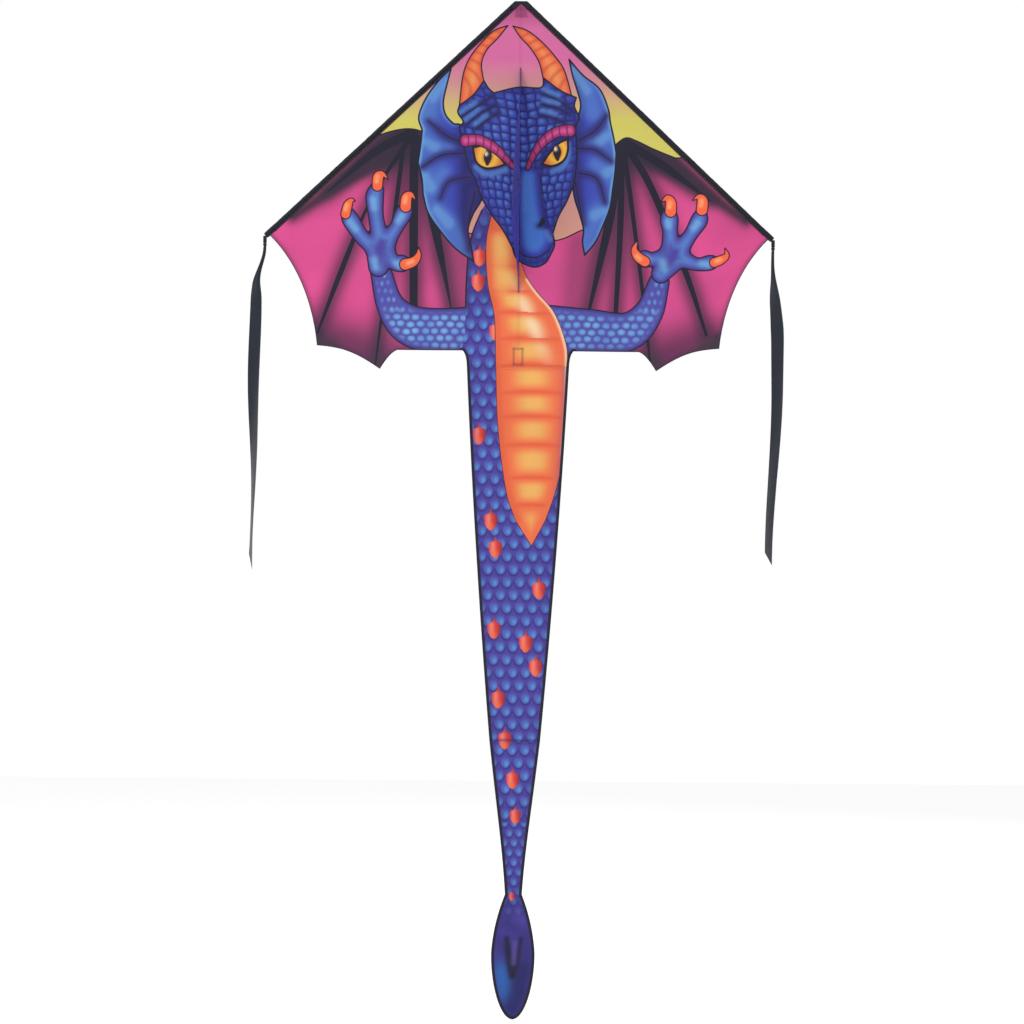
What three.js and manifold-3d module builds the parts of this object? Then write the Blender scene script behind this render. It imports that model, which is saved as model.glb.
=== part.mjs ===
// A keeled delta kite with a long cloth tail, hanging by its nose with the printed side towards -Y.
// Millimetres. X is the kite's right as seen from the printed side, Z is up, +Y is the back.
// The origin is the middle of the flat top of the nose. The sail lies in the plane y = 0, the spine,
// the spreader and their pockets are behind it, and the keel stands out in front of it.
import * as THREE from "three";
import { mergeVertices } from "three/addons/utils/BufferGeometryUtils.js";
import Module from "manifold-3d";

const wasm = await Module();
wasm.setup();

// Sail outline
const NOSE_HALF_WIDTH = 14; // the nose is cut flat across
const TIP_X = 574; // half of the wingspan
const TIP_DROP = 528; // how far the wing tips are below the nose
const CORNER_X = 453; // outer corner of the trailing edge
const CORNER_DROP = 778;
const POINT_X = 311; // lower point of the trailing edge
const POINT_DROP = 830;
const HEM_DROP = 787; // the straight hem between the lower point and the tail
const HEM_OUTER_X = 272;
const FOLD_TOP_X = 6; // the wing folds along a line from here at the nose
const FOLD_HEM_X = 125; // to here on the hem
const WING_END_MARGIN = 6; // the wing's cloth stops this far before the tip
// Control points of the trailing edge, as X and Z
const TIP_CURVE = [505, -585, 463, -675]; // from the wing tip to the corner
const SCALLOP_CURVE = [400, -782, 372, -788]; // from the corner to the lower point
const POINT_CURVE = [289, -793]; // from the lower point to the hem
const TAIL_FILLET = 8; // depth of the curve from the hem into the tail
const TAIL_FILLET_OUTSET = 1;
const CLOTH = 0.8; // thickness of one layer of cloth
const GAP = 0.3; // clearance between pieces that touch
const SEAM_GAP = 0.7; // clearance on each side of a line where the cloth bends

// Tail: half widths against the drop below the nose
const TAIL_TOP_DROP = 822;
const TAIL_TOP_HALF_WIDTH = 115;
const TAIL_SEAM_DROP = 1663;
const TAIL_SEAM_HALF_WIDTH = 57;
const TAIL_NECK_DROP = 2010;
const TAIL_NECK_HALF_WIDTH = 19;
const LEAF_WIDE_DROP = 2142;
const LEAF_HALF_WIDTH = 49;
const TAIL_TIP_DROP = 2292;
// Control points of the tail's sides, as half width and Z
const UPPER_TAIL_CURVE = [96, -1220];
const LOWER_TAIL_CURVE = [42, -1800, 26, -1900];
const LEAF_SHOULDER = 45;
const LEAF_CURVE = [50, -2210, 30, -2288];

// Leading edge
const SLEEVE_WIDTH = 14; // from the outer edge to the stitched hem
const SLEEVE_RADIUS = 5;
const SLEEVE_BORE = 4;
const SLEEVE_HEM_Y = 0.9; // half of the thickness of the stitched hem
const SLEEVE_START = 18; // measured along the leading edge from the nose
const SLEEVE_END_MARGIN = 22; // the sleeve stops this far before the tip
const SPAR_RADIUS = 2.5;
const SPAR_START = 20;
const SPAR_END_MARGIN = 9;
const CAP_RADIUS = 3.6;
const CAP_BORE = 2.8;
const CAP_LENGTH = 15;
const CAP_WALL = 1.6;
const TIP_POCKET_RADIUS = 5.6;
const TIP_POCKET_BORE = 4.2;
const TIP_POCKET_WALL = 2;
const TIP_POCKET_MARGIN = 1; // the pocket ends this far before the tip
const TIP_TAB_WIDTH = 8;
const TIP_TAB_LENGTH = 10;
const TIP_TAB_THICKNESS = 1.2;
const TIP_TAB_OUTSET = 1; // the tab hangs this far outside the end of the spar's axis
// Corner patch, as X inwards from the outer corner and Z above it
const CORNER_PATCH = [
  [1.5, 2],
  [-1.5, 38],
  [38, 1],
];
const BINDING_THICKNESS = 5.2;
const BINDING_LENGTH = 16.7; // along each leading edge

// Spine, on the back of the sail
const SPINE_Y = 6.1;
const SPINE_TOP = 15;
const SPINE_BOTTOM = 815;
const NOSE_POCKET_TOP = 11.5;
const NOSE_POCKET_BOTTOM = 35;
const NOSE_POCKET_HALF_WIDTH = 11.5;
const SPINE_POCKET_TOP = 782;
const SPINE_POCKET_BOTTOM = 819;
const SPINE_POCKET_HALF_WIDTH = 10.5;
const POCKET_RADIUS = 5.2;
const POCKET_BORE = 4.1;
const POCKET_CLOTH = 1.2;
const POCKET_WALL = 1.5; // the closed end
const FLANGE_TOP = 9; // the nose pocket's flange widens from its top
const FLANGE_TOP_HALF_WIDTH = 1;
const FLANGE_SHOULDER = 18.5;
const SPINE_CAP_WALL = 0.9; // the cap in the nose pocket
const SPINE_SLEEVE_MARGIN = 1; // from each pocket to the sleeve over the spine

// Spreader, across the back
const SPREADER_DROP = 330;
const SPREADER_Y = 16;
const SPREADER_RADIUS = 3;
const CLIP_LENGTH = 22; // along the leading edge spar
const CLIP_BORE = 2.8;
const CLIP_WALL = 1.7;
const CLIP_FRONT_Y = -2.2;
const CLIP_BACK_Y = 7;
const SOCKET_RADIUS = 5.5;
const SOCKET_BORE = 3.3;
const SOCKET_LENGTH = 36;
const SOCKET_END = 4; // closed wall past the end of the rod
const NECK_REACH = 7; // the clip's neck starts this far inside the spar
const NECK_MARGIN = 0.5; // and stops this far before the socket's end
const NECK_OVERLAP = 1.5; // into the saddle
const NECK_DEPTH = 0.9; // into the socket's wall
const NECK_HALF_HEIGHT = 4;
const WINDOW_LENGTH = 34; // opening in the sleeve for the clip
const WINDOW_FRONT_Y = -2.6;

// Keel, on the front
const KEEL_TOP_DROP = 149;
const KEEL_BOTTOM_DROP = 657;
const KEEL_POINT_DROP = 420;
const KEEL_DEPTH = 165;
const KEEL_ROOT_Y = 2.3; // the cloth starts this far in front of the sail's middle plane
const KEEL_ROUNDING = 26;
const KEEL_CURVE_DEPTH = 0.42 * KEEL_DEPTH; // control point of the keel's lower edge
const KEEL_CURVE_DROP = KEEL_POINT_DROP + 98;
const KEEL_PATCH_DEPTH = 60;
const KEEL_PATCH_HALF_HEIGHT = 90;
const GROMMET_INSET = 17; // from the keel's point to the middle of the tow grommet
const GROMMET_BORE = 3.5;
const GROMMET_BARREL = 4.2;
const GROMMET_FLANGE = 7;
const GROMMET_HOLE = 4.6;
const GROMMET_HALF_WIDTH = 2.6;
const GROMMET_FLANGE_THICKNESS = 0.7;

// Streamers, hanging from the wing tips
const RIBBON_WIDTH = 33;
const RIBBON_THICKNESS = 1;
const RIBBON_BOTTOM_DROP = 1265;
const RIBBON_TOP_HALF_WIDTH = 3; // gathered at the knot
const RIBBON_SPREAD = 150; // length over which the ribbon opens to its full width
const RIBBON_CURVE = [0.6 * (RIBBON_WIDTH / 2), 60];
const KNOT_LENGTH = 13;
const KNOT_RADIUS = 5;
const KNOT_FLATTENING = 0.9;
const KNOT_GAP = 1.6; // from the end of the tab to the knot

const ROUND_SIDES = 24;
const SMALL_SIDES = 16;
const MARGIN = 1; // how far a cutting tool reaches past what it cuts
const QUARTER_TURN = Math.PI / 2;

const colours = {
  sail: 0x8a3f80,
  sailCentre: 0x4a50a0,
  tail: 0x4a4aa0,
  keel: 0x332d90,
  black: 0x1a1c24,
  ribbon: 0x252a30,
  fibreglass: 0x2b2b2e,
  vinyl: 0x111214,
  blackNickel: 0x54545c,
};

function material(colour, roughness, metalness = 0) {
  return new THREE.MeshStandardMaterial({ color: colour, roughness, metalness });
}

// Booleans

function solidOf(geometry) {
  const bare = geometry.clone();
  bare.deleteAttribute("normal");
  bare.deleteAttribute("uv");
  const merged = mergeVertices(bare, 1e-3);
  return new wasm.Manifold(
    new wasm.Mesh({
      numProp: 3,
      vertProperties: merged.attributes.position.array,
      triVerts: new Uint32Array(merged.index.array),
    }),
  );
}

function geometryOf(solid) {
  const mesh = solid.getMesh();
  const geometry = new THREE.BufferGeometry();
  geometry.setAttribute(
    "position",
    new THREE.BufferAttribute(new Float32Array(mesh.vertProperties), 3),
  );
  geometry.setIndex(new THREE.BufferAttribute(new Uint32Array(mesh.triVerts), 1));
  geometry.computeVertexNormals();
  return geometry;
}

function joined(first, ...others) {
  return geometryOf(others.reduce((sum, g) => sum.add(solidOf(g)), solidOf(first)));
}

function cut(first, ...others) {
  return geometryOf(others.reduce((rest, g) => rest.subtract(solidOf(g)), solidOf(first)));
}

// Shapes

// A flat sheet drawn in X and Z, of the given thickness, its middle at y = middle.
function sheetXZ(shape, thickness, middle = 0, curveSegments = 10) {
  const flat = new THREE.ExtrudeGeometry(shape, {
    depth: thickness,
    bevelEnabled: false,
    curveSegments,
  });
  return flat.rotateX(QUARTER_TURN).translate(0, middle + thickness / 2, 0);
}

// A flat sheet drawn in depth and Z, where depth runs towards -Y, its middle at x = middle.
function sheetYZ(shape, thickness, middle = 0) {
  const flat = new THREE.ExtrudeGeometry(shape, { depth: thickness, bevelEnabled: false });
  return flat.rotateX(QUARTER_TURN).rotateZ(-QUARTER_TURN).translate(middle + thickness / 2, 0, 0);
}

// A section drawn as inset and Y, drawn out along X. Inset is measured towards -Z.
function barAlongX(section, start, end, curveSegments = 6) {
  const bar = new THREE.ExtrudeGeometry(section, {
    depth: end - start,
    bevelEnabled: false,
    curveSegments,
  });
  return bar.rotateY(QUARTER_TURN).translate(start, 0, 0);
}

function polygon(points) {
  return new THREE.Shape(points.map(([x, y]) => new THREE.Vector2(x, y)));
}

function box(x0, x1, y0, y1, z0, z1) {
  return new THREE.BoxGeometry(x1 - x0, y1 - y0, z1 - z0).translate(
    (x0 + x1) / 2,
    (y0 + y1) / 2,
    (z0 + z1) / 2,
  );
}

function rod(radius, length, sides = SMALL_SIDES) {
  return new THREE.CylinderGeometry(radius, radius, length, sides);
}

// A cup with its closed end at y = 0 and its mouth at y = length.
function cup(outer, bore, length, wall, sides = ROUND_SIDES) {
  const profile = [
    [0, 0],
    [outer, 0],
    [outer, length],
    [bore, length],
    [bore, wall],
    [0, wall],
  ];
  return new THREE.LatheGeometry(
    profile.map(([r, y]) => new THREE.Vector2(r, y)),
    sides,
  );
}

function tube(outer, bore, length, sides = ROUND_SIDES) {
  const profile = [
    [bore, 0],
    [outer, 0],
    [outer, length],
    [bore, length],
    [bore, 0],
  ];
  return new THREE.LatheGeometry(
    profile.map(([r, y]) => new THREE.Vector2(r, y)),
    sides,
  );
}

// The vinyl cap on the end of a spar.
function cap(wall = CAP_WALL) {
  return cup(CAP_RADIUS, CAP_BORE, CAP_LENGTH, wall, SMALL_SIDES);
}

// The kite

const kite = new THREE.Group();

function add(parent, name, geometry, look) {
  const mesh = new THREE.Mesh(geometry, look);
  mesh.name = name;
  parent.add(mesh);
  return mesh;
}

const leadingEdgeRun = TIP_X - NOSE_HALF_WIDTH;
const leadingEdgeLength = Math.hypot(leadingEdgeRun, TIP_DROP);
const leadingEdgeAngle = Math.atan2(TIP_DROP, leadingEdgeRun);
const along = new THREE.Vector2(Math.cos(leadingEdgeAngle), -Math.sin(leadingEdgeAngle));
const inward = new THREE.Vector2(-Math.sin(leadingEdgeAngle), -Math.cos(leadingEdgeAngle));

// A point of the right wing, a distance along the leading edge and an inset from its outer edge.
function edgePoint(distance, inset) {
  return [
    NOSE_HALF_WIDTH + along.x * distance + inward.x * inset,
    along.y * distance + inward.y * inset,
  ];
}

function foldX(drop) {
  return FOLD_TOP_X + ((FOLD_HEM_X - FOLD_TOP_X) * drop) / HEM_DROP;
}

// The drop at which the fold line meets a line parallel to the leading edge.
function foldMeetsInset(inset, gap) {
  const [x0, z0] = edgePoint(0, inset);
  const slope = along.x / -along.y;
  const foldSlope = (FOLD_HEM_X - FOLD_TOP_X) / HEM_DROP;
  return (FOLD_TOP_X + gap - x0 - slope * z0) / (slope - foldSlope);
}

function sailCentre() {
  const outline = new THREE.Shape();
  const clothInset = SLEEVE_WIDTH + GAP;
  const apexDrop = -edgePoint(0, clothInset)[1] - (edgePoint(0, clothInset)[0] * -along.y) / along.x;
  const meetDrop = foldMeetsInset(clothInset, -SEAM_GAP);
  const hemX = FOLD_HEM_X - SEAM_GAP;
  const filletX = TAIL_TOP_HALF_WIDTH + TAIL_FILLET_OUTSET;
  const filletZ = -HEM_DROP - TAIL_FILLET;
  const base = -TAIL_TOP_DROP + SEAM_GAP;
  outline.moveTo(0, -apexDrop);
  outline.lineTo(foldX(meetDrop) - SEAM_GAP, -meetDrop);
  outline.lineTo(hemX, -HEM_DROP);
  outline.quadraticCurveTo(filletX, filletZ, TAIL_TOP_HALF_WIDTH, base);
  outline.lineTo(-TAIL_TOP_HALF_WIDTH, base);
  outline.quadraticCurveTo(-filletX, filletZ, -hemX, -HEM_DROP);
  outline.lineTo(-foldX(meetDrop) + SEAM_GAP, -meetDrop);
  outline.closePath();
  return sheetXZ(outline, CLOTH);
}

function sailWing() {
  const outline = new THREE.Shape();
  const clothInset = SLEEVE_WIDTH + GAP;
  const meetDrop = foldMeetsInset(clothInset, SEAM_GAP);
  outline.moveTo(foldX(meetDrop) + SEAM_GAP, -meetDrop);
  outline.lineTo(...edgePoint(leadingEdgeLength - WING_END_MARGIN, clothInset));
  outline.bezierCurveTo(...TIP_CURVE, CORNER_X, -CORNER_DROP);
  outline.bezierCurveTo(...SCALLOP_CURVE, POINT_X, -POINT_DROP);
  outline.quadraticCurveTo(...POINT_CURVE, HEM_OUTER_X, -HEM_DROP);
  outline.lineTo(FOLD_HEM_X + SEAM_GAP, -HEM_DROP);
  outline.closePath();
  return sheetXZ(outline, CLOTH);
}

function noseBinding() {
  const outer = edgePoint(BINDING_LENGTH, 0);
  const inner = edgePoint(BINDING_LENGTH, SLEEVE_WIDTH);
  const [x0, z0] = edgePoint(0, SLEEVE_WIDTH);
  const apex = z0 + (x0 * -along.y) / along.x;
  const outline = polygon([
    [-NOSE_HALF_WIDTH, 0],
    [NOSE_HALF_WIDTH, 0],
    outer,
    inner,
    [0, apex],
    [-inner[0], inner[1]],
    [-outer[0], outer[1]],
  ]);
  return sheetXZ(outline, BINDING_THICKNESS);
}

function leadingEdgeSleeve() {
  const section = new THREE.Shape();
  const neck = Math.sqrt(SLEEVE_RADIUS ** 2 - SLEEVE_HEM_Y ** 2);
  const turn = Math.atan2(SLEEVE_HEM_Y, neck);
  section.moveTo(SLEEVE_WIDTH, SLEEVE_HEM_Y);
  section.lineTo(SLEEVE_RADIUS + neck, SLEEVE_HEM_Y);
  section.absarc(SLEEVE_RADIUS, 0, SLEEVE_RADIUS, turn, 2 * Math.PI - turn, false);
  section.lineTo(SLEEVE_WIDTH, -SLEEVE_HEM_Y);
  section.closePath();
  const bore = new THREE.Path();
  bore.absarc(SLEEVE_RADIUS, 0, SLEEVE_BORE, 0, 2 * Math.PI, true);
  section.holes.push(bore);
  const whole = barAlongX(section, SLEEVE_START, leadingEdgeLength - SLEEVE_END_MARGIN, 24);
  const middle = clipDistance();
  const window = box(
    middle - WINDOW_LENGTH / 2,
    middle + WINDOW_LENGTH / 2,
    WINDOW_FRONT_Y,
    SLEEVE_RADIUS + MARGIN,
    -SLEEVE_RADIUS - neck,
    MARGIN,
  );
  return cut(whole, window);
}

// How far along the leading edge its spar passes the height of the spreader.
function clipDistance() {
  return (SPREADER_DROP + edgePoint(0, SLEEVE_RADIUS)[1]) / -along.y;
}

// A piece on the leading edge spar's axis, with its own +Y turned along the edge.
function onSpar(geometry, distance, towardsTip) {
  return geometry
    .rotateZ(towardsTip ? -QUARTER_TURN : QUARTER_TURN)
    .translate(distance, 0, -SLEEVE_RADIUS);
}

function spreaderClip() {
  const middle = clipDistance();
  const spar = -SLEEVE_RADIUS;
  const half = CLIP_BORE + CLIP_WALL;
  const x0 = middle - CLIP_LENGTH / 2;
  const x1 = middle + CLIP_LENGTH / 2;
  const block = box(x0, x1, CLIP_FRONT_Y, CLIP_BACK_Y, spar - half, spar + half);
  const mouth = box(
    x0 - MARGIN,
    x1 + MARGIN,
    CLIP_FRONT_Y - MARGIN,
    0,
    spar - CLIP_BORE,
    spar + CLIP_BORE,
  );
  const seat = onSpar(rod(CLIP_BORE, CLIP_LENGTH + 2 * MARGIN, ROUND_SIDES), middle, true);
  const saddle = cut(block, mouth, seat).rotateY(leadingEdgeAngle).translate(NOSE_HALF_WIDTH, 0, 0);
  const [x, z] = edgePoint(middle, SLEEVE_RADIUS);
  const socketEnd = x + SOCKET_END;
  const socket = cup(SOCKET_RADIUS, SOCKET_BORE, SOCKET_LENGTH, SOCKET_END)
    .rotateZ(QUARTER_TURN)
    .translate(socketEnd, SPREADER_Y, z);
  const neck = box(
    x - NECK_REACH,
    socketEnd - NECK_MARGIN,
    CLIP_BACK_Y - NECK_OVERLAP,
    SPREADER_Y - SOCKET_BORE - NECK_DEPTH,
    z - NECK_HALF_HEIGHT,
    z + NECK_HALF_HEIGHT,
  );
  return joined(saddle, neck, socket);
}

function addWing(side) {
  const name = side > 0 ? "right" : "left";
  const wing = new THREE.Group();
  wing.scale.x = side;
  kite.add(wing);
  const black = material(colours.black, 0.7);
  const vinyl = material(colours.vinyl, 0.55);
  add(wing, `sail_wing_${name}`, sailWing(), material(colours.sail, 0.6));

  const edge = new THREE.Group();
  edge.position.x = NOSE_HALF_WIDTH;
  edge.rotation.y = leadingEdgeAngle;
  wing.add(edge);
  add(edge, `leading_edge_sleeve_${name}`, leadingEdgeSleeve(), black);
  const sparEnd = leadingEdgeLength - SPAR_END_MARGIN;
  const spar = onSpar(rod(SPAR_RADIUS, sparEnd - SPAR_START), (sparEnd + SPAR_START) / 2, true);
  add(edge, `leading_edge_spar_${name}`, spar, material(colours.fibreglass, 0.4));
  const capStart = SPAR_START - GAP - CAP_WALL;
  const capEnd = sparEnd + GAP + CAP_WALL;
  add(edge, `spar_nose_cap_${name}`, onSpar(cap(), capStart, true), vinyl);
  add(edge, `spar_tip_cap_${name}`, onSpar(cap(), capEnd, false), vinyl);
  const pocketLength = SLEEVE_END_MARGIN - TIP_POCKET_MARGIN - GAP;
  const pocket = cup(TIP_POCKET_RADIUS, TIP_POCKET_BORE, pocketLength, TIP_POCKET_WALL);
  const pocketEnd = leadingEdgeLength - TIP_POCKET_MARGIN;
  add(edge, `tip_pocket_${name}`, onSpar(pocket, pocketEnd, false), black);

  const tabTop = tabTopDrop();
  const tabX = tabCentreX();
  const tab = box(
    tabX - TIP_TAB_WIDTH / 2,
    tabX + TIP_TAB_WIDTH / 2,
    -TIP_TAB_THICKNESS / 2,
    TIP_TAB_THICKNESS / 2,
    -tabTop - TIP_TAB_LENGTH,
    -tabTop,
  );
  add(wing, `tip_tab_${name}`, tab, black);
  const patch = polygon(CORNER_PATCH.map(([x, z]) => [CORNER_X - x, -CORNER_DROP + z]));
  add(wing, `corner_patch_${name}`, sheetXZ(patch, CLOTH, CLOTH + GAP), black);
}

function tabCentreX() {
  return edgePoint(leadingEdgeLength, SLEEVE_RADIUS)[0] + TIP_TAB_OUTSET;
}

function tabTopDrop() {
  const pocketEnd = leadingEdgeLength - TIP_POCKET_MARGIN;
  return -edgePoint(pocketEnd, SLEEVE_RADIUS + TIP_POCKET_RADIUS)[1] + 2 * GAP;
}

function addStreamer(side) {
  const name = side > 0 ? "right" : "left";
  const streamer = new THREE.Group();
  const hingeDrop = tabTopDrop() + TIP_TAB_LENGTH + GAP;
  streamer.position.set(side * tabCentreX(), 0, -hingeDrop);
  kite.add(streamer);
  const look = material(colours.ribbon, 0.5);
  const knot = new THREE.SphereGeometry(KNOT_RADIUS, SMALL_SIDES, 10);
  knot.scale(1, KNOT_FLATTENING, KNOT_LENGTH / (2 * KNOT_RADIUS));
  knot.translate(0, 0, -KNOT_GAP - KNOT_LENGTH / 2);
  add(streamer, `streamer_knot_${name}`, knot, look);
  const top = KNOT_GAP + KNOT_LENGTH + GAP;
  const bottom = RIBBON_BOTTOM_DROP - hingeDrop;
  const half = RIBBON_WIDTH / 2;
  const [curveX, curveDrop] = RIBBON_CURVE;
  const outline = new THREE.Shape();
  outline.moveTo(-RIBBON_TOP_HALF_WIDTH, -top);
  outline.lineTo(RIBBON_TOP_HALF_WIDTH, -top);
  outline.quadraticCurveTo(curveX, -top - curveDrop, half, -top - RIBBON_SPREAD);
  outline.lineTo(half, -bottom + half);
  outline.lineTo(-half, -bottom);
  outline.lineTo(-half, -top - RIBBON_SPREAD);
  outline.quadraticCurveTo(-curveX, -top - curveDrop, -RIBBON_TOP_HALF_WIDTH, -top);
  outline.closePath();
  add(streamer, `streamer_${name}`, sheetXZ(outline, RIBBON_THICKNESS, 0, 6), look);
}

// A pocket of cloth on the back of the sail that holds one end of the spine.
function spinePocket(flange, mouthDrop, endDrop) {
  const plate = sheetXZ(flange, POCKET_CLOTH, CLOTH / 2 + GAP + POCKET_CLOTH / 2);
  const length = Math.abs(mouthDrop - endDrop);
  const holder = cup(POCKET_RADIUS, POCKET_BORE, length, POCKET_WALL);
  holder.rotateX(endDrop > mouthDrop ? QUARTER_TURN : -QUARTER_TURN);
  holder.translate(0, SPINE_Y, -endDrop);
  const room = rod(POCKET_BORE, length - POCKET_WALL);
  const wallShift = (Math.sign(mouthDrop - endDrop) * POCKET_WALL) / 2;
  room.rotateX(QUARTER_TURN);
  room.translate(0, SPINE_Y, -(endDrop + mouthDrop) / 2 - wallShift);
  return cut(joined(plate, holder), room);
}

function addSpine() {
  const black = material(colours.black, 0.7);
  const vinyl = material(colours.vinyl, 0.55);
  const spine = rod(SPAR_RADIUS, SPINE_BOTTOM - SPINE_TOP).rotateX(QUARTER_TURN);
  spine.translate(0, SPINE_Y, -(SPINE_TOP + SPINE_BOTTOM) / 2);
  add(kite, "spine_spar", spine, material(colours.fibreglass, 0.4));

  const capTop = cap(SPINE_CAP_WALL).rotateX(-QUARTER_TURN);
  const capTopZ = -SPINE_TOP + GAP + SPINE_CAP_WALL;
  add(kite, "spine_top_cap", capTop.translate(0, SPINE_Y, capTopZ), vinyl);
  const capBottom = cap().rotateX(QUARTER_TURN);
  const capBottomZ = -SPINE_BOTTOM - GAP - CAP_WALL;
  add(kite, "spine_bottom_cap", capBottom.translate(0, SPINE_Y, capBottomZ), vinyl);

  const sleeveTop = NOSE_POCKET_BOTTOM + SPINE_SLEEVE_MARGIN;
  const sleeveBottom = SPINE_POCKET_TOP - SPINE_SLEEVE_MARGIN;
  const sleeve = tube(SLEEVE_RADIUS, SLEEVE_BORE, sleeveBottom - sleeveTop);
  sleeve.rotateX(-QUARTER_TURN).translate(0, SPINE_Y, -sleeveTop);
  add(kite, "spine_sleeve", sleeve, material(colours.sailCentre, 0.6));

  const noseFlange = polygon([
    [-FLANGE_TOP_HALF_WIDTH, -FLANGE_TOP],
    [FLANGE_TOP_HALF_WIDTH, -FLANGE_TOP],
    [NOSE_POCKET_HALF_WIDTH, -FLANGE_SHOULDER],
    [NOSE_POCKET_HALF_WIDTH, -NOSE_POCKET_BOTTOM],
    [-NOSE_POCKET_HALF_WIDTH, -NOSE_POCKET_BOTTOM],
    [-NOSE_POCKET_HALF_WIDTH, -FLANGE_SHOULDER],
  ]);
  add(kite, "nose_pocket", spinePocket(noseFlange, NOSE_POCKET_BOTTOM, NOSE_POCKET_TOP), black);
  const baseFlange = polygon([
    [-SPINE_POCKET_HALF_WIDTH, -SPINE_POCKET_TOP],
    [SPINE_POCKET_HALF_WIDTH, -SPINE_POCKET_TOP],
    [SPINE_POCKET_HALF_WIDTH, -SPINE_POCKET_BOTTOM],
    [-SPINE_POCKET_HALF_WIDTH, -SPINE_POCKET_BOTTOM],
  ]);
  add(kite, "spine_pocket", spinePocket(baseFlange, SPINE_POCKET_TOP, SPINE_POCKET_BOTTOM), black);
}

function addSpreader() {
  const reach = edgePoint(clipDistance(), SLEEVE_RADIUS)[0] - GAP;
  const bar = rod(SPREADER_RADIUS, 2 * reach, 20).rotateZ(QUARTER_TURN);
  bar.translate(0, SPREADER_Y, -SPREADER_DROP);
  add(kite, "spreader_rod", bar, material(colours.fibreglass, 0.4));
  for (const side of [-1, 1]) {
    const half = new THREE.Group();
    half.scale.x = side;
    kite.add(half);
    const name = side > 0 ? "spreader_clip_right" : "spreader_clip_left";
    add(half, name, spreaderClip(), material(colours.vinyl, 0.5));
  }
}

function keelOutline() {
  const outline = new THREE.Shape();
  const point = new THREE.Vector2(KEEL_DEPTH, -KEEL_POINT_DROP);
  const top = new THREE.Vector2(KEEL_ROOT_Y, -KEEL_TOP_DROP);
  const bottom = new THREE.Vector2(KEEL_ROOT_Y, -KEEL_BOTTOM_DROP);
  const upper = point.clone().add(top.clone().sub(point).setLength(KEEL_ROUNDING));
  const lower = point.clone().add(bottom.clone().sub(point).setLength(KEEL_ROUNDING));
  outline.moveTo(top.x, top.y);
  outline.lineTo(upper.x, upper.y);
  outline.quadraticCurveTo(point.x, point.y, lower.x, lower.y);
  outline.quadraticCurveTo(KEEL_CURVE_DEPTH, -KEEL_CURVE_DROP, bottom.x, bottom.y);
  outline.closePath();
  return outline;
}

function addKeel() {
  const cloth = sheetYZ(keelOutline(), CLOTH);
  const hole = rod(GROMMET_HOLE, CLOTH + 2 * MARGIN, ROUND_SIDES).rotateZ(QUARTER_TURN);
  hole.translate(0, -KEEL_DEPTH + GROMMET_INSET, -KEEL_POINT_DROP);
  add(kite, "keel_panel", cut(cloth, hole), material(colours.keel, 0.6));

  const cover = box(
    -CLOTH,
    CLOTH,
    -KEEL_DEPTH,
    -KEEL_DEPTH + KEEL_PATCH_DEPTH,
    -KEEL_POINT_DROP - KEEL_PATCH_HALF_HEIGHT,
    -KEEL_POINT_DROP + KEEL_PATCH_HALF_HEIGHT,
  );
  const patch = geometryOf(solidOf(cloth).intersect(solidOf(cover)).subtract(solidOf(hole)));
  for (const side of [-1, 1]) {
    const name = side > 0 ? "keel_patch_right" : "keel_patch_left";
    const layer = patch.clone().translate(side * (CLOTH + GAP), 0, 0);
    add(kite, name, layer, material(colours.keel, 0.7));
  }

  const w = GROMMET_HALF_WIDTH;
  const inner = w - GROMMET_FLANGE_THICKNESS;
  const profile = [
    [GROMMET_BORE, -w],
    [GROMMET_FLANGE, -w],
    [GROMMET_FLANGE, -inner],
    [GROMMET_BARREL, -inner],
    [GROMMET_BARREL, inner],
    [GROMMET_FLANGE, inner],
    [GROMMET_FLANGE, w],
    [GROMMET_BORE, w],
    [GROMMET_BORE, -w],
  ];
  const ring = new THREE.LatheGeometry(
    profile.map(([r, y]) => new THREE.Vector2(r, y)),
    ROUND_SIDES,
  );
  ring.rotateZ(QUARTER_TURN).translate(0, -KEEL_DEPTH + GROMMET_INSET, -KEEL_POINT_DROP);
  add(kite, "tow_grommet", ring, material(colours.blackNickel, 0.3, 0.9));
}

// The same control points on the other side of the middle, in the opposite order.
function mirrored(curve) {
  return curve.length === 2
    ? [-curve[0], curve[1]]
    : [-curve[2], curve[3], -curve[0], curve[1]];
}

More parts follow.
